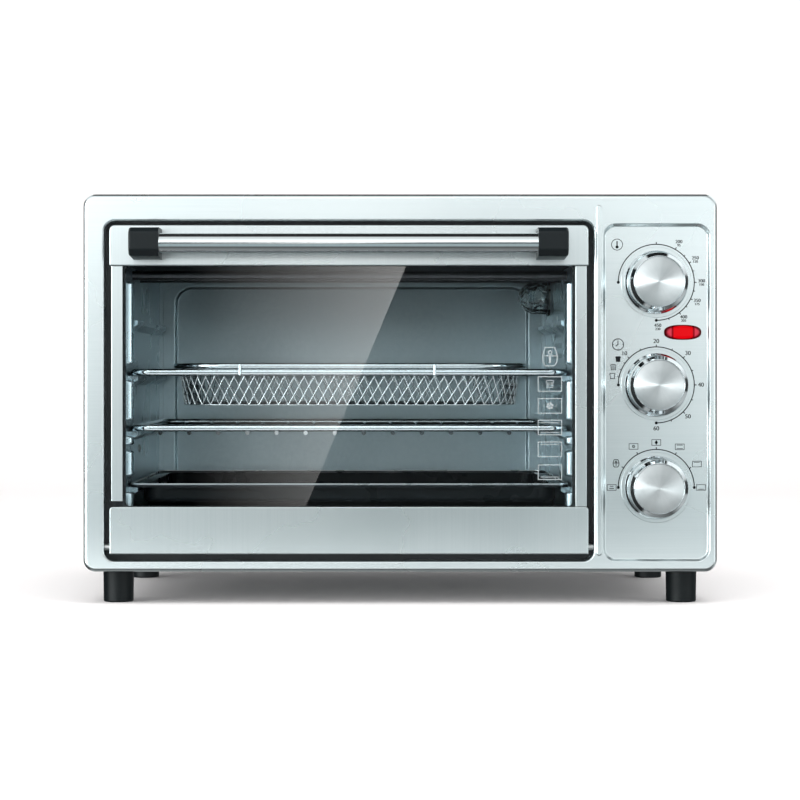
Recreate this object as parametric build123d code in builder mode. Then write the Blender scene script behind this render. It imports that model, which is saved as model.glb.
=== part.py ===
from build123d import *

# A countertop toaster oven with an air-fry basket, built as it comes apart on a bench.
# Millimetres. +X is to the right seen from the front, +Y to the back, +Z up.
# The origin is on the counter, under the middle of the oven's overall box.

import os
from math import asin, cos, degrees, radians, sin

os.makedirs("parts", exist_ok=True)

# ---------------------------------------------------------------- driving sizes

WIDTH = 470.0
FOOT_HEIGHT = 25.0
SHEET = 1.0
BEZEL_BOTTOM = 24.0
BEZEL_HEIGHT = 280.0
BODY_DEPTH = 335.0
HANDLE_REACH = 33.0  # from the bezel's face to the front of the handle
SPACER_REACH = 10.0  # rear stand-offs, behind the rear panel
OVERALL_DEPTH = HANDLE_REACH + BODY_DEPTH + SPACER_REACH
FRONT_Y = HANDLE_REACH - OVERALL_DEPTH / 2  # the bezel's face
BEZEL_MID_Z = BEZEL_BOTTOM + BEZEL_HEIGHT / 2
BEZEL_TOP = BEZEL_BOTTOM + BEZEL_HEIGHT
BEZEL_FLANGE = 14.0
BEZEL_CORNER = 9.0

# Door opening in the bezel, and the oven side's centreline
OVEN_X = -38.0
OPENING_WIDTH = 363.0
OPENING_HEIGHT = 252.0
OPENING_BOTTOM = 32.0
OPENING_CORNER = 8.0
OPENING_MID_Z = OPENING_BOTTOM + OPENING_HEIGHT / 2

# Control side
CONTROL_X = 190.0
RECESS_WIDTH = 79.2
RECESS_HEIGHT = 250.2
RECESS_BOTTOM = 31.8
RECESS_DEPTH = 2.0
RECESS_CORNER = 9.6
RECESS_SLOPE = 40.0  # degrees that its sides lean
STEP_RADIUS = 26.3  # shallow step pressed up round each knob
KNOB_HEIGHTS = {"temperature": 238.7, "timer": 162.6, "function": 86.5}
SPINDLE_RADIUS = 3.0
SPINDLE_CLEARANCE = 0.08
PILOT_X, PILOT_Z = 209.5, 201.6

# Cavity
CAVITY_WIDTH = 334.0
CAVITY_FLOOR = 52.0
CAVITY_CEILING = 252.0
CAVITY_FRONT = 15.0  # depth of the cavity's mouth behind the bezel's face
CAVITY_BACK = 305.0
CAVITY_LENGTH = CAVITY_BACK - CAVITY_FRONT
CAVITY_HEIGHT = CAVITY_CEILING - CAVITY_FLOOR
CAVITY_MID_Z = (CAVITY_FLOOR + CAVITY_CEILING) / 2
RACK_LEVELS = (88.0, 130.0, 172.0, 214.0)  # height of a rack's rod at each position
RIB_REACH = 7.0
RIB_HEIGHT = 7.5
RIB_START, RIB_LENGTH = 38.0, 250.0
ROD = 2.5  # radius of a rack's frame rod
TUBE = 3.25  # radius of a heating element
UPPER_ELEMENTS = {"height": 246.5, "depths": (70.0, 130.0)}
LOWER_ELEMENTS = {"height": 64.5, "depths": (85.0, 215.0)}
LAMP_DEPTH, LAMP_Z = 252.0, 235.0
FAN_DEPTH, FAN_Z = 165.0, 172.0

# Door
DOOR_WIDTH = 355.0
DOOR_FACE = -1.0  # depth of the rails' front face
DOOR_BACK = 11.0
DOOR_BOTTOM, DOOR_TOP = 37.2, 281.0
TOP_RAIL_HEIGHT = 30.0
BOTTOM_RAIL_HEIGHT = 35.0
GLASS_FRONT, GLASS_THICKNESS = 3.2, 4.0
HINGE_DEPTH, HINGE_Z = 6.0, 42.0
PIN_RADIUS = 2.5
HANDLE_Z = 266.5
HANDLE_HALF = 160.5
HANDLE_RADIUS = 7.2
CAP_LENGTH, CAP_HEIGHT = 22.0, 22.5

# Outer case
SHELL_WIDTH = WIDTH - 2 * SHEET - 0.4
SHELL_TOP = BEZEL_TOP - SHEET - 0.2
SHELL_BOTTOM = BEZEL_BOTTOM + SHEET
SHELL_CORNER = 8.0
FOOT_RADIUS = 11.6
FOOT_X = 211.3
FOOT_DEPTHS = (26.0, 245.0)


def at_depth(depth):
    """Y of a depth behind the bezel's face."""
    return FRONT_Y + depth


def facing(depth):
    """Upright plane at a depth behind the bezel's face. Its normal points to the front."""
    return Plane.XZ.offset(-at_depth(depth))


def across(x):
    """Side plane at x. Its first axis runs to the back, and its second up."""
    return Plane.YZ.offset(x)


def save(builder, name):
    builder.part.label = name
    export_step(builder.part, f"parts/{name}.step")


def edges_on_front(builder, depth):
    """The edges that lie in the upright plane at a depth."""
    y = at_depth(depth)
    return builder.edges().filter_by_position(Axis.Y, y - 0.01, y + 0.01)


# ---------------------------------------------------------------- outer case

with BuildPart() as front_bezel:
    with BuildSketch(facing(0)):
        with Locations((0, BEZEL_MID_Z)):
            RectangleRounded(WIDTH, BEZEL_HEIGHT, BEZEL_CORNER)
    extrude(amount=-BEZEL_FLANGE)
    fillet(edges_on_front(front_bezel, 0), 3.0)
    offset(amount=-SHEET, openings=front_bezel.faces().sort_by(Axis.Y)[-1])
    # raised bead between the door opening and the control recess
    with BuildSketch(facing(SHEET / 2)):
        with Locations((147.4, 166.0)):
            SlotOverall(260.0, 4.4, rotation=90)
    extrude(amount=SHEET / 2 + 1.2)
    fillet(edges_on_front(front_bezel, -1.2), 1.0)
    # rolled flange round the door opening, and the backing of the control recess
    with BuildSketch(facing(0)):
        with Locations((OVEN_X, OPENING_MID_Z)):
            RectangleRounded(OPENING_WIDTH + 2 * SHEET, OPENING_HEIGHT + 2 * SHEET, OPENING_CORNER + SHEET)
    extrude(amount=-BEZEL_FLANGE)
    with BuildSketch(facing(SHEET / 2)):
        with Locations((CONTROL_X, RECESS_BOTTOM + RECESS_HEIGHT / 2)):
            RectangleRounded(RECESS_WIDTH, RECESS_HEIGHT, RECESS_CORNER)
    extrude(amount=-(RECESS_DEPTH + SHEET / 2))
    with BuildSketch(facing(0)):
        with Locations((OVEN_X, OPENING_MID_Z)):
            RectangleRounded(OPENING_WIDTH, OPENING_HEIGHT, OPENING_CORNER)
    extrude(amount=-BEZEL_FLANGE, mode=Mode.SUBTRACT)
    with BuildSketch(facing(0)):
        with Locations((CONTROL_X, RECESS_BOTTOM + RECESS_HEIGHT / 2)):
            RectangleRounded(RECESS_WIDTH, RECESS_HEIGHT, RECESS_CORNER)
    extrude(amount=-RECESS_DEPTH, taper=RECESS_SLOPE, mode=Mode.SUBTRACT)
    rims = [e for e in edges_on_front(front_bezel, 0) if abs(e.center().X) < WIDTH / 2 - 5.0]
    rims = [e for e in rims if OPENING_BOTTOM - 1.0 < e.center().Z < DOOR_TOP + 4.0]
    opening_rim = [e for e in rims if e.center().X < OVEN_X + OPENING_WIDTH / 2 + 0.5]
    recess_rim = [e for e in rims if e.center().X > CONTROL_X - RECESS_WIDTH / 2 - 0.5]
    fillet(opening_rim, 1.6)
    fillet(recess_rim, 1.2)
    fillet(edges_on_front(front_bezel, RECESS_DEPTH), 1.2)
    # a shallow round step under each knob
    with BuildSketch(facing(RECESS_DEPTH)):
        with Locations(*[(CONTROL_X, z) for z in KNOB_HEIGHTS.values()]):
            Circle(STEP_RADIUS)
    extrude(amount=0.5, taper=30.0)
    # holes for the knobs' spindles, the pilot light and the door's hinge pins
    with BuildSketch(facing(RECESS_DEPTH - SHEET)):
        with Locations(*[(CONTROL_X, z) for z in KNOB_HEIGHTS.values()]):
            Circle(5.2)
        with Locations((PILOT_X, PILOT_Z)):
            Ellipse(11.5, 4.0)
    extrude(amount=-3 * SHEET, mode=Mode.SUBTRACT)
    with BuildSketch(across(OVEN_X - OPENING_WIDTH / 2 - 3.0)):
        with Locations((at_depth(HINGE_DEPTH), HINGE_Z)):
            Circle(3.1)
    extrude(amount=OPENING_WIDTH + 6.0, mode=Mode.SUBTRACT)
save(front_bezel, "front_bezel")

shell_height = SHELL_TOP - SHELL_BOTTOM
shell_front, shell_back = 6.0, BODY_DEPTH - SHEET
with BuildPart() as outer_shell:
    with BuildSketch(facing(shell_front)):
        with Locations((0, SHELL_BOTTOM + shell_height / 2)):
            RectangleRounded(SHELL_WIDTH, shell_height, SHELL_CORNER)
            RectangleRounded(
                SHELL_WIDTH - 2 * SHEET, shell_height - 2 * SHEET, SHELL_CORNER - SHEET, mode=Mode.SUBTRACT
            )
        # the legs stop above the base pan's rounded corners
        with Locations((0, SHELL_BOTTOM)):
            Rectangle(SHELL_WIDTH, 2 * SHELL_CORNER, mode=Mode.SUBTRACT)
    extrude(amount=-(shell_back - shell_front))
    # cooling louvres: two rows on the control side, one on the oven side
    with BuildSketch(across(SHELL_WIDTH / 2 + 1.0)):
        with Locations((at_depth(205.0), 220.0)):
            with GridLocations(9.0, 38.0, 14, 2):
                SlotOverall(28.0, 3.4, rotation=90)
        with Locations((at_depth(205.0), 62.0)):
            with GridLocations(9.0, 38.0, 14, 1):
                SlotOverall(28.0, 3.4, rotation=90)
    extrude(amount=-4.0, mode=Mode.SUBTRACT)
    with BuildSketch(across(-SHELL_WIDTH / 2 - 1.0)):
        with Locations((at_depth(205.0), 250.0)):
            with GridLocations(9.0, 38.0, 14, 1):
                SlotOverall(28.0, 3.4, rotation=90)
    extrude(amount=4.0, mode=Mode.SUBTRACT)
    # slots over the control compartment
    with BuildSketch(Plane.XY.offset(SHELL_TOP + 1.0)):
        with Locations((186.0, at_depth(240.0))):
            with GridLocations(38.0, 8.0, 2, 8):
                SlotOverall(28.0, 3.4)
    extrude(amount=-4.0, mode=Mode.SUBTRACT)
save(outer_shell, "outer_shell")

inner_width = SHELL_WIDTH - 2 * SHEET - 0.4
base_front = BEZEL_FLANGE + 1.5
base_back = BODY_DEPTH - SHEET - 2.0
with BuildPart() as base_panel:
    with BuildSketch(Plane.XY.offset(SHELL_BOTTOM)):
        with Locations((0, at_depth((base_front + base_back) / 2))):
            Rectangle(inner_width, base_back - base_front)
    extrude(amount=10.0)
    fillet(base_panel.edges().filter_by(Axis.Y).group_by(Axis.Z)[0], SHELL_CORNER)
    offset(amount=-SHEET, openings=base_panel.faces().sort_by(Axis.Z)[-1])
    with BuildSketch(Plane.XY.offset(SHELL_BOTTOM - 1.0)):
        with Locations((OVEN_X, at_depth(170.0))):
            with GridLocations(60.0, 14.0, 4, 9):
                SlotOverall(44.0, 4.0)
        with Locations((186.0, at_depth(170.0))):
            with GridLocations(40.0, 14.0, 1, 9):
                SlotOverall(40.0, 4.0)
        with Locations(*[(side * FOOT_X, at_depth(depth)) for side in (-1, 1) for depth in FOOT_DEPTHS]):
            Circle(1.8)
    extrude(amount=4.0, mode=Mode.SUBTRACT)
save(base_panel, "base_panel")

SPACERS = [(-150.0, 215.0), (150.0, 215.0)]
REAR_SCREWS = [(side * (SHELL_WIDTH / 2 - 12.0), z) for side in (-1, 1) for z in (45.0, 160.0, 285.0)]
GLAND_X, GLAND_Z = 190.0, 62.0
flange_height = shell_height - 12.6
with BuildPart() as rear_panel:
    with BuildSketch(facing(BODY_DEPTH)):
        with Locations((0, SHELL_BOTTOM + shell_height / 2)):
            RectangleRounded(SHELL_WIDTH, shell_height, SHELL_CORNER)
    extrude(amount=SHEET)
    with BuildSketch(facing(BODY_DEPTH)):
        with Locations((0, SHELL_BOTTOM + shell_height / 2 + 5.0)):
            RectangleRounded(inner_width, flange_height, SHELL_CORNER)
            RectangleRounded(inner_width - 2 * SHEET, flange_height - 2 * SHEET, 7.0, mode=Mode.SUBTRACT)
    extrude(amount=9.0)
    with BuildSketch(facing(BODY_DEPTH + 1.0)):
        with Locations((190.0, 190.0)):
            with GridLocations(8.0, 34.0, 8, 3):
                SlotOverall(26.0, 3.4, rotation=90)
        with Locations((OVEN_X, 282.0)):
            with GridLocations(9.0, 1.0, 24, 1):
                SlotOverall(18.0, 3.4, rotation=90)
        with Locations((GLAND_X, GLAND_Z)):
            Circle(6.5)
        with Locations(*REAR_SCREWS):
            Circle(1.8)
        with Locations(*SPACERS):
            Circle(2.0)
    extrude(amount=4.0, mode=Mode.SUBTRACT)
save(rear_panel, "rear_panel")

with BuildPart() as rear_spacers:
    with BuildSketch(facing(BODY_DEPTH)):
        with Locations(*SPACERS):
            Circle(9.0)
    extrude(amount=-SPACER_REACH)
    fillet(edges_on_front(rear_spacers, BODY_DEPTH + SPACER_REACH), 2.0)
    with BuildSketch(facing(BODY_DEPTH)):
        with Locations(*SPACERS):
            Circle(2.0)
    extrude(amount=SHEET + 4.0)
save(rear_spacers, "rear_spacers")

gland_length = 14.0
with BuildPart() as cord_gland:
    with BuildSketch(facing(BODY_DEPTH)):
        with Locations((GLAND_X, GLAND_Z)):
            Circle(9.5)
    extrude(amount=-4.0)
    fillet(edges_on_front(cord_gland, BODY_DEPTH + 4.0), 1.5)
    with BuildSketch(facing(BODY_DEPTH)):
        with Locations((GLAND_X, GLAND_Z)):
            Circle(6.5)
    extrude(amount=SHEET)
    with BuildSketch(facing(BODY_DEPTH - SHEET)):
        with Locations((GLAND_X, GLAND_Z)):
            Circle(8.5)
    extrude(amount=gland_length - 4.0 - SHEET)
    with BuildSketch(facing(BODY_DEPTH + 4.0)):
        with Locations((GLAND_X, GLAND_Z)):
            Circle(3.8)
    extrude(amount=gland_length, mode=Mode.SUBTRACT)
save(cord_gland, "cord_gland")

foot_centres = [(side * FOOT_X, at_depth(depth)) for side in (-1, 1) for depth in FOOT_DEPTHS]
FOOT_COUNTERBORE = 14.0
with BuildPart() as feet:
    for foot_x, foot_y in foot_centres:
        with Locations((foot_x, foot_y, FOOT_HEIGHT / 2)):
            Cone(FOOT_RADIUS - 0.4, FOOT_RADIUS, FOOT_HEIGHT)
    fillet(feet.edges().group_by(Axis.Z)[0], 1.2)
    with BuildSketch():
        with Locations(*foot_centres):
            Circle(4.6)
    extrude(amount=FOOT_COUNTERBORE, mode=Mode.SUBTRACT)
    with BuildSketch():
        with Locations(*foot_centres):
            Circle(1.8)
    extrude(amount=FOOT_HEIGHT, mode=Mode.SUBTRACT)
save(feet, "feet")

# One pattern of self-tapping screw holds the feet and the rear panel.
HEAD_RADIUS, HEAD_HEIGHT, SHANK_RADIUS = 3.6, 2.2, 1.8
with BuildPart() as case_screws:
    with BuildSketch(Plane.XY.offset(FOOT_COUNTERBORE - HEAD_HEIGHT)):
        with Locations(*foot_centres):
            Circle(HEAD_RADIUS)
    extrude(amount=HEAD_HEIGHT)
    with BuildSketch(Plane.XY.offset(FOOT_COUNTERBORE)):
        with Locations(*foot_centres):
            Circle(SHANK_RADIUS)
    extrude(amount=15.0)
    with BuildSketch(facing(BODY_DEPTH)):
        with Locations(*REAR_SCREWS):
            Circle(HEAD_RADIUS)
    extrude(amount=-HEAD_HEIGHT)
    with BuildSketch(facing(BODY_DEPTH)):
        with Locations(*REAR_SCREWS):
            Circle(SHANK_RADIUS)
    extrude(amount=8.0)
    fillet(edges_on_front(case_screws, BODY_DEPTH + HEAD_HEIGHT), 0.9)
    # cross recess in each rear head
    with BuildSketch(facing(BODY_DEPTH + HEAD_HEIGHT)):
        with Locations(*REAR_SCREWS):
            Rectangle(3.6, 0.8)
            Rectangle(0.8, 3.6)
    extrude(amount=1.2, mode=Mode.SUBTRACT)
save(case_screws, "case_screws")

# ---------------------------------------------------------------- cavity

cavity_mid_depth = (CAVITY_FRONT + CAVITY_BACK) / 2
STAY_X = CAVITY_WIDTH / 2 + 6.0  # the door's stay arms, either side of the cavity
STAY_RADIUS = 45.0

with BuildPart() as cavity_front_frame:
    with BuildSketch(facing(BEZEL_FLANGE)):
        with Locations((OVEN_X, OPENING_MID_Z)):
            Rectangle(OPENING_WIDTH + 10.0, OPENING_HEIGHT + 10.0)
        with Locations((OVEN_X, CAVITY_MID_Z)):
            RectangleRounded(CAVITY_WIDTH, CAVITY_HEIGHT, 4.0, mode=Mode.SUBTRACT)
        with Locations(*[(OVEN_X + side * STAY_X, HINGE_Z + STAY_RADIUS - 0.5) for side in (-1, 1)]):
            Rectangle(3.4, 14.0, mode=Mode.SUBTRACT)
    extrude(amount=-SHEET)
save(cavity_front_frame, "cavity_front_frame")

# Half-round stiffening beads near the mouth, as spans of height that leave the rack positions free
BEAD_DEPTH, BEAD_RADIUS = 26.0, 5.5
BEADS = ((58.0, 82.0), (94.0, 113.0), (117.5, 124.0), (136.0, 166.0), (178.0, 240.0))
ELEMENT_SPOTS = [
    (at_depth(depth), row["height"]) for row in (UPPER_ELEMENTS, LOWER_ELEMENTS) for depth in row["depths"]
]
for side, wall_name in ((-1, "cavity_left_wall"), (1, "cavity_right_wall")):
    wall_x = OVEN_X + side * CAVITY_WIDTH / 2
    with BuildPart() as side_wall:
        with BuildSketch(across(wall_x)):
            with Locations((at_depth(cavity_mid_depth), CAVITY_MID_Z)):
                Rectangle(CAVITY_LENGTH, CAVITY_HEIGHT)
        extrude(amount=side * SHEET)
        for level in RACK_LEVELS:
            rib_top = level - ROD - 0.3
            inward = wall_x - side * RIB_REACH
            with BuildSketch(facing(RIB_START)):
                with BuildLine():
                    Polyline(
                        (wall_x, rib_top),
                        (inward, rib_top),
                        (inward, rib_top - 3.0),
                        (wall_x, rib_top - RIB_HEIGHT),
                        close=True,
                    )
                make_face()
            extrude(amount=-RIB_LENGTH)
            # the rib is pressed out of the sheet, so its back is hollow
            outside = wall_x + side * 1.5
            hollow = inward + side * SHEET
            with BuildSketch(facing(RIB_START + SHEET)):
                with BuildLine():
                    Polyline(
                        (outside, rib_top - SHEET),
                        (hollow, rib_top - SHEET),
                        (hollow, rib_top - 3.0),
                        (outside, rib_top - RIB_HEIGHT + 1.4),
                        close=True,
                    )
                make_face()
            extrude(amount=-(RIB_LENGTH - 2 * SHEET), mode=Mode.SUBTRACT)
        for low, high in BEADS:
            with BuildSketch(Plane.XY.offset(low)):
                with Locations((wall_x, at_depth(BEAD_DEPTH))):
                    Circle(BEAD_RADIUS)
                with Locations((wall_x + side * 5.0, at_depth(BEAD_DEPTH))):
                    Rectangle(10.0, 20.0, mode=Mode.SUBTRACT)
            extrude(amount=high - low)
        bead_ends = side_wall.edges().filter_by(GeomType.CIRCLE)
        fillet([e for e in bead_ends if abs(e.radius - BEAD_RADIUS) < 0.01], 2.0)
        for low, high in BEADS:
            with BuildSketch(Plane.XY.offset(low + SHEET)):
                with Locations((wall_x, at_depth(BEAD_DEPTH))):
                    Circle(BEAD_RADIUS - SHEET)
            extrude(amount=high - low - 2 * SHEET, mode=Mode.SUBTRACT)
        with BuildSketch(across(wall_x - side * 2.0)):
            with Locations(*ELEMENT_SPOTS):
                Circle(TUBE + 0.4)
        extrude(amount=side * 4.0, mode=Mode.SUBTRACT)
        if side > 0:
            with BuildSketch(across(wall_x - 1.0)):
                for band in (151.5, 193.5):
                    with Locations((at_depth(FAN_DEPTH), band)):
                        with GridLocations(8.4, 8.0, 11, 3):
                            Circle(2.4)
                with Locations((at_depth(LAMP_DEPTH), LAMP_Z)):
                    Circle(10.5)
            extrude(amount=4.0, mode=Mode.SUBTRACT)
    save(side_wall, wall_name)

cavity_box_width = CAVITY_WIDTH + 2 * SHEET
for height, panel_name in ((CAVITY_CEILING, "cavity_ceiling"), (CAVITY_FLOOR - SHEET, "cavity_floor")):
    with BuildPart() as cavity_sheet:
        with BuildSketch(Plane.XY.offset(height)):
            with Locations((OVEN_X, at_depth(cavity_mid_depth))):
                Rectangle(cavity_box_width, CAVITY_LENGTH)
        extrude(amount=SHEET)
    save(cavity_sheet, panel_name)

# The back wall is drawn like a shallow pan: a raised rim, a flat border, and a panel pushed back inside it.
BACK_X, BACK_Z, BACK_PANEL_WIDTH, BACK_PANEL_HEIGHT, BACK_PANEL_CORNER = -38.5, 156.0, 304.0, 178.0, 14.0
BACK_STEP = 5.0
RIM_RISE, RIM_BORDER = 3.0, 3.4
with BuildPart() as cavity_back_wall:
    with BuildSketch(facing(CAVITY_BACK)):
        with Locations((OVEN_X, CAVITY_MID_Z)):
            Rectangle(cavity_box_width, CAVITY_HEIGHT + 2 * SHEET)
    extrude(amount=-SHEET)
    with BuildSketch(facing(CAVITY_BACK)):
        with Locations((BACK_X, BACK_Z)):
            RectangleRounded(
                BACK_PANEL_WIDTH + 2 * SHEET, BACK_PANEL_HEIGHT + 2 * SHEET, BACK_PANEL_CORNER + SHEET
            )
    extrude(amount=-(BACK_STEP + SHEET))
    with BuildSketch(facing(CAVITY_BACK)):
        with Locations((BACK_X, BACK_Z)):
            RectangleRounded(BACK_PANEL_WIDTH, BACK_PANEL_HEIGHT, BACK_PANEL_CORNER)
    extrude(amount=-BACK_STEP, mode=Mode.SUBTRACT)
    fillet([e for e in edges_on_front(cavity_back_wall, CAVITY_BACK) if abs(e.center().X - OVEN_X) < 155.0
            and 60.0 < e.center().Z < 248.0], 2.2)
    fillet(edges_on_front(cavity_back_wall, CAVITY_BACK + BACK_STEP), 1.5)
    with BuildSketch(facing(CAVITY_BACK)):
        with Locations((OVEN_X, CAVITY_MID_Z)):
            Rectangle(CAVITY_WIDTH - 0.2, CAVITY_HEIGHT - 0.2)
            RectangleRounded(
                CAVITY_WIDTH - 2 * RIM_BORDER,
                CAVITY_HEIGHT - 2 * RIM_BORDER,
                BACK_PANEL_CORNER,
                mode=Mode.SUBTRACT,
            )
    extrude(amount=RIM_RISE)
save(cavity_back_wall, "cavity_back_wall")

# ---------------------------------------------------------------- heating elements

left_wall_x = OVEN_X - CAVITY_WIDTH / 2
right_wall_x = OVEN_X + CAVITY_WIDTH / 2
TUBE_OVERHANG = 13.0
for row, row_name in ((UPPER_ELEMENTS, "upper_heating_elements"), (LOWER_ELEMENTS, "lower_heating_elements")):
    with BuildPart() as elements:
        centres = [(at_depth(d), row["height"]) for d in row["depths"]]
        with BuildSketch(across(left_wall_x - TUBE_OVERHANG)):
            with Locations(*centres):
                Circle(TUBE)
        extrude(amount=CAVITY_WIDTH + 2 * TUBE_OVERHANG)
        with BuildSketch(across(left_wall_x - TUBE_OVERHANG - 8.0)):
            with Locations(*centres):
                Circle(1.2)
        extrude(amount=CAVITY_WIDTH + 2 * TUBE_OVERHANG + 16.0)
    save(elements, row_name)

with BuildPart() as element_insulators:
    for side, wall_x in ((-1, left_wall_x - SHEET), (1, right_wall_x + SHEET)):
        with BuildSketch(across(wall_x)):
            with Locations(*ELEMENT_SPOTS):
                Circle(8.0)
        extrude(amount=side * 2.5)
        with BuildSketch(across(wall_x)):
            with Locations(*ELEMENT_SPOTS):
                Circle(5.5)
        extrude(amount=side * 10.0)
        with BuildSketch(across(wall_x)):
            with Locations(*ELEMENT_SPOTS):
                Circle(TUBE)
        extrude(amount=side * 10.0, mode=Mode.SUBTRACT)
save(element_insulators, "element_insulators")

# ---------------------------------------------------------------- lamp

lamp_origin = (right_wall_x, at_depth(LAMP_DEPTH), LAMP_Z)
lamp_plane = Plane(origin=lamp_origin, x_dir=(-1, 0, 0), z_dir=(0, 0, 1))
lamp_axis = Axis(lamp_origin, (-1, 0, 0))
with BuildPart() as lamp_lens:
    with BuildSketch(lamp_plane):
        with BuildLine():
            Polyline((0.0, 11.0), (0.0, 16.0), (2.0, 16.0), (2.0, 14.0), (13.0, 14.0))
            CenterArc((13.0, 0.0), 14.0, 90.0, -90.0)
            Line((27.0, 0.0), (25.2, 0.0))
            CenterArc((13.0, 0.0), 12.2, 0.0, 90.0)
            Polyline((13.0, 12.2), (2.0, 12.2), (0.0, 11.0))
        make_face()
    revolve(axis=lamp_axis)
save(lamp_lens, "lamp_lens")

BULB_RADIUS, BULB_NECK, BULB_CENTRE = 8.0, 5.0, 11.0
neck_angle = 180.0 - degrees(asin(BULB_NECK / BULB_RADIUS))
with BuildPart() as lamp_bulb:
    with BuildSketch(lamp_plane):
        with BuildLine():
            bulb_arc = CenterArc((BULB_CENTRE, 0.0), BULB_RADIUS, 0.0, neck_angle)
            Polyline(bulb_arc @ 1, (-6.0, BULB_NECK), (-6.0, 0.0), bulb_arc @ 0)
        make_face()
    revolve(axis=lamp_axis)
save(lamp_bulb, "lamp_bulb")

with BuildPart() as lamp_holder:
    with BuildSketch(across(right_wall_x + SHEET)):
        with Locations((at_depth(LAMP_DEPTH), LAMP_Z)):
            Circle(13.5)
    extrude(amount=22.0)
    with BuildSketch(across(right_wall_x + SHEET)):
        with Locations((at_depth(LAMP_DEPTH), LAMP_Z)):
            Circle(5.0)
    extrude(amount=5.0, mode=Mode.SUBTRACT)
    fillet(lamp_holder.edges().group_by(Axis.X)[-1], 1.5)
save(lamp_holder, "lamp_holder")

# ---------------------------------------------------------------- convection fan

fan_y = at_depth(FAN_DEPTH)
housing_x = right_wall_x + SHEET
HOUSING_REACH = 26.0
with BuildPart() as fan_housing:
    with BuildSketch(across(housing_x)):
        with Locations((fan_y, FAN_Z)):
            RectangleRounded(112.0, 100.0, 12.0)
    extrude(amount=HOUSING_REACH)
    offset(amount=-SHEET, openings=fan_housing.faces().sort_by(Axis.X)[0])
    with BuildSketch(across(housing_x + HOUSING_REACH - 2.0)):
        with Locations((fan_y, FAN_Z)):
            Circle(4.0)
    extrude(amount=4.0, mode=Mode.SUBTRACT)
save(fan_housing, "fan_housing")

BLADES = 8
SHAFT_RADIUS = 2.5
with BuildPart() as convection_fan:
    with BuildSketch(across(housing_x + 14.0)):
        with Locations((fan_y, FAN_Z)):
            Circle(38.0)
    extrude(amount=1.2)
    with BuildSketch(across(housing_x + 8.0)):
        with Locations((fan_y, FAN_Z)):
            Circle(7.0)
    extrude(amount=8.0)
    with BuildSketch(across(housing_x + 4.0)):
        with Locations((fan_y, FAN_Z)):
            with PolarLocations(25.0, BLADES):
                Rectangle(22.0, 1.2)
    extrude(amount=10.5)
    with BuildSketch(across(housing_x + 2.0)):
        with Locations((fan_y, FAN_Z)):
            Circle(SHAFT_RADIUS)
    extrude(amount=20.0, mode=Mode.SUBTRACT)
save(convection_fan, "convection_fan")

MOTOR_X = housing_x + HOUSING_REACH + 10.0
CORE_WIDTH = 18.0
ROTOR_RADIUS = 10.5
shaft_start = housing_x + 6.0
shaft_end = MOTOR_X + CORE_WIDTH + 7.0
with BuildPart() as fan_shaft:
    with BuildSketch(across(shaft_start)):
        with Locations((fan_y, FAN_Z)):
            Circle(SHAFT_RADIUS)
    extrude(amount=shaft_end - shaft_start)
    with BuildSketch(across(MOTOR_X)):
        with Locations((fan_y, FAN_Z)):
            Circle(ROTOR_RADIUS)
    extrude(amount=CORE_WIDTH)
save(fan_shaft, "fan_shaft")

with BuildPart() as motor_core:
    with BuildSketch(across(MOTOR_X)):
        with Locations((fan_y, FAN_Z - 9.0)):
            RectangleRounded(48.0, 58.0, 2.0)
        with Locations((fan_y, FAN_Z)):
            Circle(ROTOR_RADIUS + 0.5, mode=Mode.SUBTRACT)
        with Locations((fan_y, FAN_Z - 25.0)):
            Rectangle(26.0, 12.0, mode=Mode.SUBTRACT)
    extrude(amount=CORE_WIDTH)
save(motor_core, "motor_core")

with BuildPart() as motor_coil:
    with BuildSketch(across(MOTOR_X - 6.0)):
        with Locations((fan_y, FAN_Z - 26.4)):
            Rectangle(24.0, 20.8)
    extrude(amount=CORE_WIDTH + 12.0)
    fillet(motor_coil.edges().filter_by(Axis.X), 2.0)
    # the coil is wound round the core's lower leg
    with BuildSketch(across(MOTOR_X)):
        with Locations((fan_y, FAN_Z - 9.0)):
            RectangleRounded(48.0, 58.0, 2.0)
        with Locations((fan_y, FAN_Z - 25.0)):
            Rectangle(26.0, 12.0, mode=Mode.SUBTRACT)
    extrude(amount=CORE_WIDTH, mode=Mode.SUBTRACT)
save(motor_coil, "motor_coil")

# Two bridges carry the shaft's bearings. The inner one's feet stand on the fan housing.
with BuildPart() as motor_bridges:
    for bridge_x in (MOTOR_X - 4.0, MOTOR_X + CORE_WIDTH + 2.0):
        with BuildSketch(across(bridge_x)):
            with Locations((fan_y, FAN_Z)):
                Rectangle(56.0, 12.0)
                Circle(8.0)
        extrude(amount=2.0)
    for post_y in (fan_y - 26.0, fan_y + 26.0):
        with BuildSketch(across(housing_x + HOUSING_REACH)):
            with Locations((post_y, FAN_Z)):
                Circle(1.9)
        extrude(amount=MOTOR_X + CORE_WIDTH + 4.0 - housing_x - HOUSING_REACH)
    with BuildSketch(across(housing_x + HOUSING_REACH)):
        with Locations((fan_y, FAN_Z)):
            Circle(SHAFT_RADIUS + SPINDLE_CLEARANCE)
    extrude(amount=50.0, mode=Mode.SUBTRACT)
save(motor_bridges, "motor_bridges")

# ---------------------------------------------------------------- controls

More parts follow.
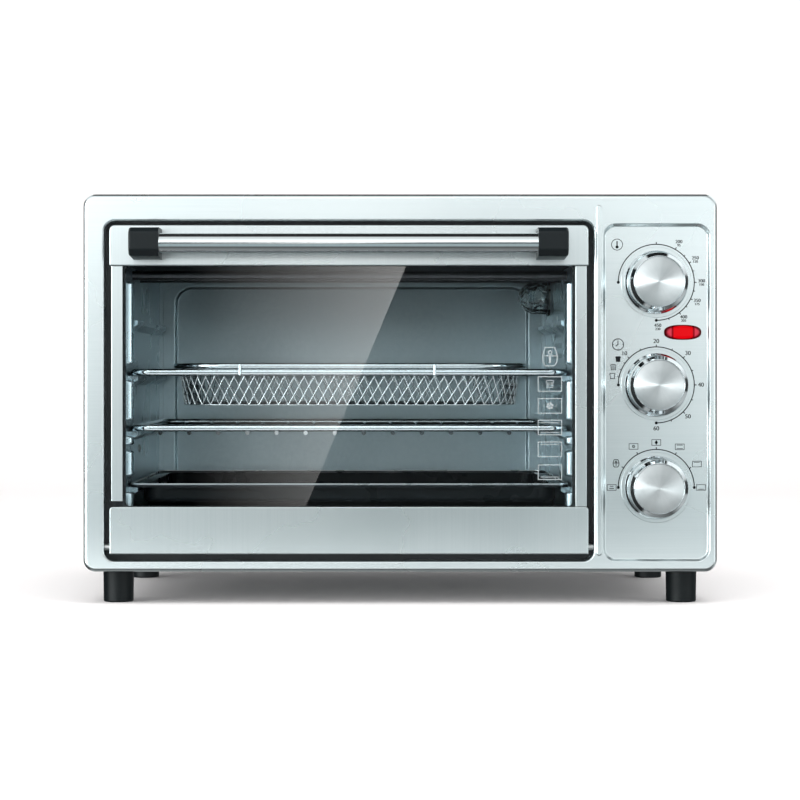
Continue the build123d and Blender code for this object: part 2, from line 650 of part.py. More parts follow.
BRACKET_DEPTH = 10.0
with BuildPart() as control_bracket:
    with BuildSketch(Plane.XY.offset(50.0)):
        with Locations((CONTROL_X, at_depth((3.0 + BRACKET_DEPTH + 1.5) / 2))):
            Rectangle(66.0, BRACKET_DEPTH + 1.5 - 3.0)
        with Locations((CONTROL_X, at_depth((3.0 + BRACKET_DEPTH) / 2))):
            Rectangle(63.0, BRACKET_DEPTH - 3.0, mode=Mode.SUBTRACT)
    extrude(amount=215.0)
    with BuildSketch(facing(BRACKET_DEPTH - 1.0)):
        with Locations(*[(CONTROL_X, z) for z in KNOB_HEIGHTS.values()]):
            Circle(5.2)
        with Locations((PILOT_X, PILOT_Z)):
            Rectangle(22.0, 9.0)
    extrude(amount=-4.0, mode=Mode.SUBTRACT)
save(control_bracket, "control_bracket")

CONTROL_BODIES = {
    "thermostat": {"knob": "temperature", "size": (38.0, 38.0), "length": 20.0, "blades": 2},
    "timer": {"knob": "timer", "size": (54.0, 52.0), "length": 30.0, "blades": 3},
    "function_switch": {"knob": "function", "size": (42.0, 42.0), "length": 26.0, "blades": 4},
}
body_depth = BRACKET_DEPTH + 1.5
SPINDLE_END = 22.0
for control_name, control in CONTROL_BODIES.items():
    knob_z = KNOB_HEIGHTS[control["knob"]]
    with BuildPart() as control_body:
        with BuildSketch(facing(body_depth)):
            with Locations((CONTROL_X, knob_z)):
                RectangleRounded(*control["size"], 3.0)
        extrude(amount=-control["length"])
        with BuildSketch(facing(4.0)):
            with Locations((CONTROL_X, knob_z)):
                Circle(4.9)
        extrude(amount=-(body_depth - 4.0))
        back = body_depth + control["length"]
        with BuildSketch(facing(back)):
            with Locations((CONTROL_X, knob_z - control["size"][1] / 2 + 5.0)):
                with GridLocations(9.0, 1.0, control["blades"], 1):
                    Rectangle(6.3, 0.8)
        extrude(amount=-9.0)
        with BuildSketch(facing(4.0)):
            with Locations((CONTROL_X, knob_z)):
                Circle(SPINDLE_RADIUS + SPINDLE_CLEARANCE)
        extrude(amount=-(SPINDLE_END + 0.4 - 4.0), mode=Mode.SUBTRACT)
    save(control_body, control_name)

with BuildPart() as timer_bell:
    bell_depth = body_depth + CONTROL_BODIES["timer"]["length"]
    with BuildSketch(facing(bell_depth)):
        with Locations((CONTROL_X, KNOB_HEIGHTS["timer"] + 4.0)):
            Circle(4.0)
    extrude(amount=-12.0)
    with BuildSketch(facing(bell_depth + 4.0)):
        with Locations((CONTROL_X, KNOB_HEIGHTS["timer"] + 4.0)):
            Circle(20.0)
    extrude(amount=-10.0)
    fillet(edges_on_front(timer_bell, bell_depth + 14.0), 6.0)
    with BuildSketch(facing(bell_depth + 4.0)):
        with Locations((CONTROL_X, KNOB_HEIGHTS["timer"] + 4.0)):
            Circle(18.5)
            Circle(4.0, mode=Mode.SUBTRACT)
    extrude(amount=-7.5, mode=Mode.SUBTRACT)
save(timer_bell, "timer_bell")

with BuildPart() as pilot_light_lens:
    with BuildSketch(facing(RECESS_DEPTH)):
        with Locations((PILOT_X, PILOT_Z)):
            Ellipse(13.8, 5.6)
    extrude(amount=3.6)
    fillet(edges_on_front(pilot_light_lens, RECESS_DEPTH - 3.6), 2.0)
    with BuildSketch(facing(RECESS_DEPTH)):
        with Locations((PILOT_X, PILOT_Z)):
            Ellipse(11.4, 3.9)
    extrude(amount=-5.0)
    with BuildSketch(facing(RECESS_DEPTH + 5.0)):
        with Locations((PILOT_X, PILOT_Z)):
            RectangleRounded(16.0, 4.4, 1.5)
    extrude(amount=5.5, mode=Mode.SUBTRACT)
save(pilot_light_lens, "pilot_light_lens")

with BuildPart() as pilot_light_lamp:
    with BuildSketch(facing(RECESS_DEPTH)):
        with Locations((PILOT_X, PILOT_Z)):
            RectangleRounded(13.0, 3.6, 1.2)
    extrude(amount=-16.0)
save(pilot_light_lamp, "pilot_light_lamp")

# Knobs: a moulded and plated body, a turned aluminium face and the control's spindle
SKIRT_RADIUS, BODY_RADIUS, FACE_RADIUS = 23.5, 21.6, 18.2
KNOB_BACK = RECESS_DEPTH - 1.1
KNOB_FRONT = -19.5
for knob_name, knob_z in KNOB_HEIGHTS.items():
    knob_plane = Plane(origin=(CONTROL_X, FRONT_Y, knob_z), x_dir=(1, 0, 0), z_dir=(0, 0, 1))
    knob_axis = Axis((CONTROL_X, FRONT_Y, knob_z), (0, 1, 0))
    with BuildPart() as knob:
        with BuildSketch(knob_plane):
            with BuildLine():
                Polyline(
                    (0.0, KNOB_BACK),
                    (SKIRT_RADIUS, KNOB_BACK),
                    (SKIRT_RADIUS, KNOB_BACK - 1.0),
                    (BODY_RADIUS + 0.4, KNOB_BACK - 2.6),
                    (BODY_RADIUS - 0.2, KNOB_FRONT + 2.8),
                    (FACE_RADIUS + 0.5, KNOB_FRONT),
                    (FACE_RADIUS + 0.05, KNOB_FRONT),
                    (FACE_RADIUS + 0.05, KNOB_FRONT + 1.0),
                    (0.0, KNOB_FRONT + 1.0),
                    close=True,
                )
            make_face()
        revolve(axis=knob_axis)
        # hollow moulding with a boss round the spindle
        with BuildSketch(facing(KNOB_BACK)):
            with Locations((CONTROL_X, knob_z)):
                Circle(18.4)
                Circle(6.0, mode=Mode.SUBTRACT)
        extrude(amount=15.0, mode=Mode.SUBTRACT)
        with BuildSketch(facing(KNOB_BACK)):
            with Locations((CONTROL_X, knob_z)):
                Rectangle(38.0, 1.4)
                Rectangle(1.4, 38.0)
                Circle(5.9, mode=Mode.SUBTRACT)
        extrude(amount=15.0)
        with BuildSketch(facing(KNOB_BACK)):
            with Locations((CONTROL_X, knob_z)):
                Circle(SPINDLE_RADIUS)
        extrude(amount=12.0, mode=Mode.SUBTRACT)
    save(knob, f"{knob_name}_knob")

    with BuildPart() as knob_face:
        with BuildSketch(facing(KNOB_FRONT + 1.0)):
            with Locations((CONTROL_X, knob_z)):
                Circle(FACE_RADIUS)
        extrude(amount=0.8)
        fillet(edges_on_front(knob_face, KNOB_FRONT + 0.2), 0.3)
    save(knob_face, f"{knob_name}_knob_face")

    with BuildPart() as spindle:
        with BuildSketch(facing(KNOB_BACK - 11.0)):
            with Locations((CONTROL_X, knob_z)):
                Circle(SPINDLE_RADIUS)
        extrude(amount=-(SPINDLE_END - KNOB_BACK + 11.0))
    save(spindle, f"{knob_name}_spindle")

# ---------------------------------------------------------------- door

half_door = DOOR_WIDTH / 2
with BuildPart() as door_top_rail:
    with BuildSketch(facing(DOOR_FACE)):
        with Locations((OVEN_X, DOOR_TOP - TOP_RAIL_HEIGHT / 2)):
            Rectangle(DOOR_WIDTH, TOP_RAIL_HEIGHT)
    extrude(amount=-(DOOR_BACK - DOOR_FACE))
    top_corners = door_top_rail.edges().filter_by(Axis.Y).group_by(Axis.Z)[-1]
    fillet(top_corners, 4.0)
    fillet(edges_on_front(door_top_rail, DOOR_FACE), 0.8)
    with BuildSketch(facing(DOOR_FACE + SHEET)):
        with Locations((OVEN_X, DOOR_TOP - TOP_RAIL_HEIGHT / 2 - SHEET)):
            Rectangle(DOOR_WIDTH - 2 * SHEET, TOP_RAIL_HEIGHT)
    extrude(amount=-DOOR_BACK, mode=Mode.SUBTRACT)
    with BuildSketch(facing(DOOR_FACE - 1.0)):
        with Locations(*[(OVEN_X + side * (HANDLE_HALF - CAP_LENGTH / 2), HANDLE_Z) for side in (-1, 1)]):
            Circle(2.2)
    extrude(amount=-4.0, mode=Mode.SUBTRACT)
save(door_top_rail, "door_top_rail")

with BuildPart() as door_bottom_rail:
    with BuildSketch(facing(DOOR_FACE)):
        with Locations((OVEN_X, DOOR_BOTTOM + BOTTOM_RAIL_HEIGHT / 2)):
            Rectangle(DOOR_WIDTH, BOTTOM_RAIL_HEIGHT)
    extrude(amount=-(DOOR_BACK - DOOR_FACE))
    upper_corners = door_bottom_rail.edges().filter_by(Axis.Y).group_by(Axis.Z)[-1]
    fillet(upper_corners, 2.5)
    fillet(edges_on_front(door_bottom_rail, DOOR_FACE), 0.8)
    with BuildSketch(facing(DOOR_FACE + SHEET)):
        with Locations((OVEN_X, DOOR_BOTTOM + BOTTOM_RAIL_HEIGHT / 2 + SHEET)):
            Rectangle(DOOR_WIDTH - 2 * SHEET, BOTTOM_RAIL_HEIGHT)
    extrude(amount=-DOOR_BACK, mode=Mode.SUBTRACT)
    with BuildSketch(across(OVEN_X - half_door - 1.0)):
        with Locations((at_depth(HINGE_DEPTH), HINGE_Z)):
            Circle(PIN_RADIUS)
    extrude(amount=DOOR_WIDTH + 2.0, mode=Mode.SUBTRACT)
save(door_bottom_rail, "door_bottom_rail")

STRIP_WIDTH = 8.5
STRIP_FRONT = GLASS_FRONT - SHEET - 0.1
STRIP_RETURN = 6.3
rail_top = DOOR_BOTTOM + BOTTOM_RAIL_HEIGHT
strip_top = DOOR_TOP - TOP_RAIL_HEIGHT - 0.2
with BuildPart() as door_side_strips:
    for side, strip_bottom in ((-1, rail_top + 4.2), (1, rail_top + 0.2)):
        edge_x = OVEN_X + side * (half_door - 1.0)
        with BuildSketch(Plane.XY.offset(strip_bottom)):
            with Locations((edge_x - side * STRIP_WIDTH / 2, at_depth(STRIP_FRONT + SHEET / 2))):
                Rectangle(STRIP_WIDTH, SHEET)
            with Locations((edge_x - side * SHEET / 2, at_depth(STRIP_FRONT + STRIP_RETURN / 2))):
                Rectangle(SHEET, STRIP_RETURN)
        extrude(amount=strip_top - strip_bottom)
    fillet(edges_on_front(door_side_strips, STRIP_FRONT).filter_by(Axis.Z), 0.6)
save(door_side_strips, "door_side_strips")

glass_half = half_door - 3.0
glass_bottom, glass_top = 58.0, 263.0
with BuildPart() as door_glass:
    with BuildSketch(facing(GLASS_FRONT)):
        with Locations((OVEN_X, (glass_bottom + glass_top) / 2)):
            RectangleRounded(2 * glass_half, glass_top - glass_bottom, 5.0)
    extrude(amount=-GLASS_THICKNESS)
    chamfer(edges_on_front(door_glass, GLASS_FRONT), 0.5)
save(door_glass, "door_glass")

frame_depth = GLASS_FRONT + GLASS_THICKNESS + 0.2
frame_height = DOOR_TOP - DOOR_BOTTOM - 6.0
with BuildPart() as door_inner_frame:
    with BuildSketch(facing(frame_depth)):
        with Locations((OVEN_X, (DOOR_TOP + DOOR_BOTTOM) / 2)):
            Rectangle(DOOR_WIDTH - 4 * SHEET - 0.4, frame_height)
        # corners cut away round the hinge pins' collars
        with Locations(*[(OVEN_X + side * half_door, HINGE_Z) for side in (-1, 1)]):
            Rectangle(20.0, 14.0, mode=Mode.SUBTRACT)
        with Locations((OVEN_X, 161.5)):
            RectangleRounded(CAVITY_WIDTH - 2.0, 178.0, 3.0, mode=Mode.SUBTRACT)
    extrude(amount=-SHEET)
save(door_inner_frame, "door_inner_frame")

SCREW_SPOTS = [(OVEN_X + x, z) for z in (47.5, 270.5) for x in (-150.0, -50.0, 50.0, 150.0)]
HANDLE_SCREWS = [(OVEN_X + side * (HANDLE_HALF - CAP_LENGTH / 2), HANDLE_Z) for side in (-1, 1)]
with BuildPart() as door_screws:
    with BuildSketch(facing(frame_depth + SHEET)):
        with Locations(*SCREW_SPOTS):
            Circle(2.6)
    extrude(amount=-1.4)
    # the handle's screws pass from inside the top rail into the end caps
    with BuildSketch(facing(DOOR_FACE + SHEET)):
        with Locations(*HANDLE_SCREWS):
            Circle(3.4)
    extrude(amount=-1.8)
    with BuildSketch(facing(DOOR_FACE + SHEET)):
        with Locations(*HANDLE_SCREWS):
            Circle(1.8)
    extrude(amount=12.0)
save(door_screws, "door_screws")

HANDLE_DEPTH = HANDLE_RADIUS - HANDLE_REACH  # depth of the tube's centre, in front of the face
with BuildPart() as handle_bar:
    with BuildSketch(across(OVEN_X - HANDLE_HALF + 4.0)):
        with Locations((at_depth(HANDLE_DEPTH + 0.8), HANDLE_Z)):
            Circle(HANDLE_RADIUS)
    extrude(amount=2 * HANDLE_HALF - 8.0)
    with BuildSketch(across(OVEN_X - HANDLE_HALF + 4.0)):
        with Locations((at_depth(HANDLE_DEPTH + 0.8), HANDLE_Z)):
            Circle(HANDLE_RADIUS - 1.2)
    extrude(amount=2 * HANDLE_HALF - 8.0, mode=Mode.SUBTRACT)
save(handle_bar, "handle_bar")

with BuildPart() as handle_end_caps:
    cap_front = -HANDLE_REACH
    for side in (-1, 1):
        outer_x = OVEN_X + side * HANDLE_HALF
        with BuildSketch(across(outer_x)):
            with BuildLine():
                low, high = HANDLE_Z - CAP_HEIGHT / 2, HANDLE_Z + CAP_HEIGHT / 2
                outline = FilletPolyline(
                    (at_depth(DOOR_FACE), low),
                    (at_depth(cap_front + 4.0), low + 1.5),
                    (at_depth(cap_front), low + 6.0),
                    (at_depth(cap_front), high - 3.0),
                    (at_depth(cap_front + 5.0), high),
                    (at_depth(DOOR_FACE), high),
                    radius=2.4,
                )
                Line(outline @ 1, outline @ 0)
            make_face()
        extrude(amount=-side * CAP_LENGTH)
    fillet(handle_end_caps.edges().group_by(Axis.X)[0], 1.8)
    fillet(handle_end_caps.edges().group_by(Axis.X)[-1], 1.8)
    # sockets for the tube, and pilot holes for the screws
    with BuildSketch(across(OVEN_X - HANDLE_HALF + 4.0)):
        with Locations((at_depth(HANDLE_DEPTH + 0.8), HANDLE_Z)):
            Circle(HANDLE_RADIUS)
    extrude(amount=2 * HANDLE_HALF - 8.0, mode=Mode.SUBTRACT)
    with BuildSketch(facing(DOOR_FACE)):
        with Locations(*HANDLE_SCREWS):
            Circle(1.8)
    extrude(amount=12.0, mode=Mode.SUBTRACT)
save(handle_end_caps, "handle_end_caps")

PIN_INNER = half_door - 6.0
PIN_OUTER = OPENING_WIDTH / 2 + 5.0
with BuildPart() as hinge_pins:
    for side in (-1, 1):
        with BuildSketch(across(OVEN_X + side * PIN_INNER)):
            with Locations((at_depth(HINGE_DEPTH), HINGE_Z)):
                Circle(PIN_RADIUS)
        extrude(amount=side * (PIN_OUTER - PIN_INNER))
        with BuildSketch(across(OVEN_X + side * PIN_INNER)):
            with Locations((at_depth(HINGE_DEPTH), HINGE_Z)):
                Circle(3.8)
        extrude(amount=side * (half_door - SHEET - PIN_INNER))
save(hinge_pins, "hinge_pins")

BRACKET_SHEET = 1.5
with BuildPart() as hinge_brackets:
    for side in (-1, 1):
        inner_x = OVEN_X + side * (OPENING_WIDTH / 2 + SHEET)
        with BuildSketch(across(inner_x)):
            with Locations((at_depth(7.5), HINGE_Z + 4.0)):
                Rectangle(11.0, 26.0)
            with Locations((at_depth(HINGE_DEPTH), HINGE_Z)):
                Circle(PIN_RADIUS + SPINDLE_CLEARANCE, mode=Mode.SUBTRACT)
        extrude(amount=side * BRACKET_SHEET)
save(hinge_brackets, "hinge_brackets")

# Stay arms: a quadrant on each side of the door, centred on the hinge line
with BuildPart() as door_stay_arms:
    first, last = -12.0, 84.0
    for side in (-1, 1):
        with BuildSketch(across(OVEN_X + side * STAY_X - 1.0)):
            with BuildLine():
                hub_y, hub_z = at_depth(HINGE_DEPTH), HINGE_Z
                for radius in (STAY_RADIUS - 3.5, STAY_RADIUS + 3.5):
                    CenterArc((hub_y, hub_z), radius, first, last - first)
                for angle in (first, last):
                    along = (cos(radians(angle)), sin(radians(angle)))
                    Line(
                        (hub_y + (STAY_RADIUS - 3.5) * along[0], hub_z + (STAY_RADIUS - 3.5) * along[1]),
                        (hub_y + (STAY_RADIUS + 3.5) * along[0], hub_z + (STAY_RADIUS + 3.5) * along[1]),
                    )
            make_face()
        extrude(amount=2.0)
        # foot against the door's inner frame
        with BuildSketch(facing(frame_depth + SHEET)):
            with Locations((OVEN_X + side * (STAY_X - 0.5), HINGE_Z + STAY_RADIUS)):
                Rectangle(5.0, 26.0)
        extrude(amount=-1.5)
        with BuildSketch(across(OVEN_X + side * STAY_X - 1.0)):
            with Locations((at_depth(frame_depth + SHEET + 1.7), HINGE_Z + STAY_RADIUS)):
                Rectangle(3.4, 9.0)
        extrude(amount=2.0)
save(door_stay_arms, "door_stay_arms")

# A short torsion spring round the end of each hinge pin, outside its bracket
COIL_RADIUS, SPRING_WIRE, COIL_PITCH, COILS = 3.4, 0.55, 1.25, 2
with BuildPart() as door_springs:
    for side in (-1, 1):
        near_x = OVEN_X + side * (OPENING_WIDTH / 2 + SHEET + BRACKET_SHEET + SPRING_WIRE + 0.1)
        with BuildLine():
            coil = Helix(
                pitch=COIL_PITCH,
                height=COILS * COIL_PITCH,
                radius=COIL_RADIUS,
                center=(near_x, at_depth(HINGE_DEPTH), HINGE_Z),
                direction=(side, 0, 0),
            )
        with BuildSketch(Plane(origin=coil @ 0, z_dir=coil % 0)):
            Circle(SPRING_WIRE)
        sweep(path=coil, is_frenet=True)
save(door_springs, "door_springs")

# ---------------------------------------------------------------- racks, basket and trays

RACK_WIDTH = 330.0
RACK_FRONT, RACK_BACK = 24.5, 286.5
rack_mid_y = at_depth((RACK_FRONT + RACK_BACK) / 2)
rack_length = RACK_BACK - RACK_FRONT


def rod_ring(width, length, corner, radius, height):
    """A closed rounded rectangle of round rod, lying level, centred on the oven side."""
    half_x, half_y = width / 2 - radius, length / 2 - radius
    with BuildPart(mode=Mode.PRIVATE) as rod:
        with BuildLine(Plane.XY.offset(height)):
            ring = FilletPolyline(
                (OVEN_X - half_x, rack_mid_y - half_y),
                (OVEN_X + half_x, rack_mid_y - half_y),
                (OVEN_X + half_x, rack_mid_y + half_y),
                (OVEN_X - half_x, rack_mid_y + half_y),
                radius=corner,
                close=True,
            )
        with BuildSketch(Plane(origin=ring @ 0, z_dir=ring % 0)):
            Circle(radius)
        sweep(path=ring)
    return rod.part


BASKET_LEVEL, LOWER_LEVEL, TRAY_LEVEL = RACK_LEVELS[2], RACK_LEVELS[1], RACK_LEVELS[0]
with BuildPart() as basket_rack:
    add(rod_ring(RACK_WIDTH, rack_length, 12.0, ROD, BASKET_LEVEL))
    with BuildSketch(facing(RACK_FRONT + ROD)):
        with Locations((OVEN_X - 141.0, BASKET_LEVEL), (OVEN_X + 141.0, BASKET_LEVEL)):
            Circle(1.75)
    extrude(amount=-(rack_length - 2 * ROD))
save(basket_rack, "basket_rack")

WIRES, WIRE_SPACING, WIRE = 14, 21.85, 1.6
with BuildPart() as lower_rack:
    add(rod_ring(RACK_WIDTH, rack_length, 12.0, ROD, LOWER_LEVEL))
    with BuildSketch(facing(RACK_FRONT + 1.0)):
        with Locations((OVEN_X, LOWER_LEVEL - ROD - WIRE + 0.6)):
            with GridLocations(WIRE_SPACING, 1.0, WIRES, 1):
                Circle(WIRE)
    extrude(amount=-(rack_length - 2.0))
save(lower_rack, "lower_rack")

RIM_WIDTH, RIM_ROD = 271.0, 2.0
HOOK_RADIUS, HOOK_DEPTH = 1.1, RACK_FRONT - 2.4
RIM_Z = BASKET_LEVEL + ROD + RIM_ROD + 0.3
with BuildPart() as basket_rim:
    add(rod_ring(RIM_WIDTH, rack_length - 1.0, 42.0, RIM_ROD, RIM_Z))
    for hook_x in (-120.0, 26.0):
        with BuildSketch(facing(HOOK_DEPTH)):
            with Locations((hook_x, RIM_Z)):
                Circle(HOOK_RADIUS)
        extrude(amount=-5.0)
        with BuildSketch(Plane.XY.offset(RIM_Z + HOOK_RADIUS)):
            with Locations((hook_x, at_depth(HOOK_DEPTH + 0.6))):
                Circle(HOOK_RADIUS)
        extrude(amount=-8.0)
save(basket_rim, "basket_rim")

BASKET_BOTTOM = 147.0
MESH_TOP = RIM_Z - 1.6
MESH_WALL = 1.2
mesh_width, mesh_length = 260.0, 250.0
with BuildPart() as basket_mesh:
    for wall, mode in ((0.0, Mode.ADD), (MESH_WALL, Mode.SUBTRACT)):
        with BuildSketch(Plane.XY.offset(MESH_TOP)):
            with Locations((OVEN_X, rack_mid_y)):
                RectangleRounded(mesh_width - 2 * wall, mesh_length - 2 * wall, 40.0 - wall)
        extrude(amount=-(MESH_TOP - BASKET_BOTTOM - wall), taper=7.0, mode=mode)
    fillet(basket_mesh.edges().group_by(Axis.Z)[0], 2.0)
    with BuildSketch(Plane.XY.offset(MESH_TOP)):
        with Locations((OVEN_X, rack_mid_y)):
            RectangleRounded(RIM_WIDTH - 4 * RIM_ROD, rack_length - 1.0 - 4 * RIM_ROD, 40.0)
            RectangleRounded(
                mesh_width - 2 * MESH_WALL, mesh_length - 2 * MESH_WALL, 38.8, mode=Mode.SUBTRACT
            )
    extrude(amount=MESH_WALL)
save(basket_mesh, "basket_mesh")

TRAY_DEPTH = 12.0
flange_z = TRAY_LEVEL - ROD
with BuildPart() as drip_tray:
    with BuildSketch(Plane.XY.offset(flange_z)):
        with Locations((OVEN_X, rack_mid_y)):
            RectangleRounded(RACK_WIDTH, rack_length, 10.0)
    extrude(amount=3.0)
    with BuildSketch(Plane.XY.offset(flange_z + SHEET)):
        with Locations((OVEN_X, rack_mid_y)):
            RectangleRounded(RACK_WIDTH - 2 * SHEET, rack_length - 2 * SHEET, 9.0)
    extrude(amount=3.0, mode=Mode.SUBTRACT)
    with BuildSketch(Plane.XY.offset(flange_z + SHEET - TRAY_DEPTH)):
        with Locations((OVEN_X, rack_mid_y)):
            RectangleRounded(RACK_WIDTH - 18.0, rack_length - 16.0, 14.0)
    extrude(amount=TRAY_DEPTH)
    fillet(drip_tray.edges().group_by(Axis.Z)[0], 3.0)
    with BuildSketch(Plane.XY.offset(flange_z + 2 * SHEET - TRAY_DEPTH)):
        with Locations((OVEN_X, rack_mid_y)):
            RectangleRounded(RACK_WIDTH - 20.0, rack_length - 18.0, 13.0)
    extrude(amount=TRAY_DEPTH, mode=Mode.SUBTRACT)
save(drip_tray, "drip_tray")

with BuildPart() as crumb_tray:
    crumb_mid_y = at_depth(158.0)
    with BuildSketch(Plane.XY.offset(CAVITY_FLOOR + 0.3)):
        with Locations((OVEN_X, crumb_mid_y)):
            RectangleRounded(CAVITY_WIDTH - 14.0, 276.0, 4.0)
    extrude(amount=5.5)
    with BuildSketch(Plane.XY.offset(CAVITY_FLOOR + 1.1)):
        with Locations((OVEN_X, crumb_mid_y)):
            RectangleRounded(CAVITY_WIDTH - 15.6, 274.4, 3.2)
    extrude(amount=5.5, mode=Mode.SUBTRACT)
save(crumb_tray, "crumb_tray")
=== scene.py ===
# %% [markdown]
# # A countertop toaster oven, finished in Blender
# The oven comes in as a fixed frame: every sheet, rod and knob is already at its true size and place,
# in metres. Blender adds what the frame can't hold: metals with their grain, glass, printed scales, the
# woven basket, and the turned faces of the knobs. Each step below says what the piece is on the real
# oven before it is made.

import math

import bmesh
import bpy
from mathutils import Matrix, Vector


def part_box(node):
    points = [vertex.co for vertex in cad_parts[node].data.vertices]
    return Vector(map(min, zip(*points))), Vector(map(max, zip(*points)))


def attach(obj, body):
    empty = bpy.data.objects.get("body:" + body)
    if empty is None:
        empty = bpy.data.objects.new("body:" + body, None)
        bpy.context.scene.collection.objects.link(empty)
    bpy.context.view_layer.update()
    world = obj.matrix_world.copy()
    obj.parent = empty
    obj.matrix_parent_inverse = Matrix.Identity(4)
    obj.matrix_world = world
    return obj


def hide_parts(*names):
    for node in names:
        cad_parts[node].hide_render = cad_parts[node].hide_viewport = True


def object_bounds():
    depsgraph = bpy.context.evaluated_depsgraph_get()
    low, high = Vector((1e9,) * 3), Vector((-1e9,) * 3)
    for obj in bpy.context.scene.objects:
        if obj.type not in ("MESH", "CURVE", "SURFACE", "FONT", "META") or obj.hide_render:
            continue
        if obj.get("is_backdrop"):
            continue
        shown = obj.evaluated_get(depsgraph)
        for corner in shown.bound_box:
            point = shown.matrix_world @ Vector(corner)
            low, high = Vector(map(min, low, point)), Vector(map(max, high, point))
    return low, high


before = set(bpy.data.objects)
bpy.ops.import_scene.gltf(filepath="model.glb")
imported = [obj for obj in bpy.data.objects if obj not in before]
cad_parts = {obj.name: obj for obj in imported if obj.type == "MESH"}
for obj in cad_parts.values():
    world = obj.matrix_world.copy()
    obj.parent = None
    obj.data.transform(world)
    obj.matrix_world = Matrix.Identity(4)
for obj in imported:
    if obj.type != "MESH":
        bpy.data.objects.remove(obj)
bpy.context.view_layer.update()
MM = 0.001
bezel_low, bezel_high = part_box("front_bezel")
knob_boxes = {name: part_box(f"{name}_knob") for name in ("temperature", "timer", "function")}
glass_low, glass_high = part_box("door_glass")
BEAD_PROUD = 1.2 * MM
FACE_Y = bezel_low.y + BEAD_PROUD  # the bezel's face, behind its raised bead
PANEL_Y = FACE_Y + 2.0 * MM  # the floor of the control recess
oven_x = (glass_low.x + glass_high.x) / 2
print("bezel", [round(v, 4) for v in (bezel_high - bezel_low)], "face at y", round(FACE_Y, 4))

# %% [markdown]
# ## Camera
# A product like this is taken from straight in front with a long lens, so that its edges stay parallel.
# The camera stands at the height of the basket and a little left of the middle, and the lens is shifted
# rather than turned, which keeps every upright edge upright.

# %% Camera
def placed(name, data):
    """A new object at the origin, in the scene."""
    made = bpy.data.objects.new(name, data)
    bpy.context.scene.collection.objects.link(made)
    return made


CAMERA_DISTANCE, CAMERA_X, CAMERA_HEIGHT = 1.8, -0.0209, 0.1698
camera_data = bpy.data.cameras.new("front_camera")
camera_data.sensor_width = 36.0
camera_data.lens = 109.3
camera_data.shift_x = 0.035
camera_data.shift_y = -0.031
camera = placed("front_camera", camera_data)
camera.location = (CAMERA_X, FACE_Y - CAMERA_DISTANCE, CAMERA_HEIGHT)
camera.rotation_euler = (math.radians(90), 0, 0)
bpy.context.scene.camera = camera
bpy.context.scene.view_settings.view_transform = "Standard"
print("camera", [round(v, 3) for v in camera.location])

# %% [markdown]
# ## A studio for metal and glass
# Bright metal has no colour of its own: it shows the room. So the room is a plain white sweep under a
# white sky, with two soft boxes. Glass would mirror that white sky too and hide the inside of the oven,
# so a grey flag stands round the camera where the door would mirror it. A slanted card in front of the
# flag leaves the bright wedge that a window leaves on a glass door. Flags and cards are seen in
# reflections only.

# %% Helpers for meshes and plain surfaces
def mesh_object(name, vertices, faces):
    """A new object at the origin, with its place in its mesh."""
    mesh = bpy.data.meshes.new(name)
    mesh.from_pydata([tuple(v) for v in vertices], [], faces)
    mesh.update()
    return placed(name, mesh)


def closed_object(name, bm):
    """A new object from a bmesh, with its faces turned outwards."""
    bmesh.ops.recalc_face_normals(bm, faces=bm.faces)
    mesh = bpy.data.meshes.new(name)
    bm.to_mesh(mesh)
    bm.free()
    return placed(name, mesh)


# %% Helpers for shader nodes
def math_node(nodes, links, operation, first, second):
    """A Math node; each term is a number or a socket."""
    node = nodes.new("ShaderNodeMath")
    node.operation = operation
    for index, term in enumerate((first, second)):
        if isinstance(term, (int, float)):
            node.inputs[index].default_value = term
        else:
            links.new(term, node.inputs[index])
    return node.outputs[0]


def ranged(nodes, links, value, start, end, low=0.0, high=1.0, smooth=False):
    """Maps start to end onto low to high, and stays level outside."""
    node = nodes.new("ShaderNodeMapRange")
    node.interpolation_type = "SMOOTHSTEP" if smooth else "LINEAR"
    for label, number in (("From Min", start), ("From Max", end), ("To Min", low), ("To Max", high)):
        node.inputs[label].default_value = number
    links.new(value, node.inputs["Value"])
    return node.outputs[0]


def axes(nodes, links, vector):
    """A vector's X, Y and Z outputs."""
    node = nodes.new("ShaderNodeSeparateXYZ")
    links.new(vector, node.inputs[0])
    return node.outputs


def ramp(nodes, links, value, stops):
    """A colour ramp from its (position, colour) stops."""
    node = nodes.new("ShaderNodeValToRGB")
    marks = node.color_ramp.elements
    while len(marks) < len(stops):
        marks.new(0.5)
    for mark, (position, colour) in zip(marks, stops):
        mark.position = position
        mark.color = (*colour, 1)
    links.new(value, node.inputs["Fac"])
    return node.outputs["Color"]


def object_place(nodes):
    return nodes.new("ShaderNodeTexCoord").outputs["Object"]


# %% Helpers for cards that only reflections see
def reflection_only(card, through_glass=False):
    card.visible_camera = False
    card.visible_diffuse = False
    card.visible_shadow = False
    card.visible_transmission = through_glass
    card.visible_volume_scatter = False


def glow_material(name, colour, strength):
    material = bpy.data.materials.new(name)
    material.use_nodes = True
    nodes = material.node_tree.nodes
    nodes.clear()
    output = nodes.new("ShaderNodeOutputMaterial")
    glow = nodes.new("ShaderNodeEmission")
    glow.inputs["Color"].default_value = (*colour, 1)
    glow.inputs["Strength"].default_value = strength
    material.node_tree.links.new(glow.outputs[0], output.inputs["Surface"])
    return material


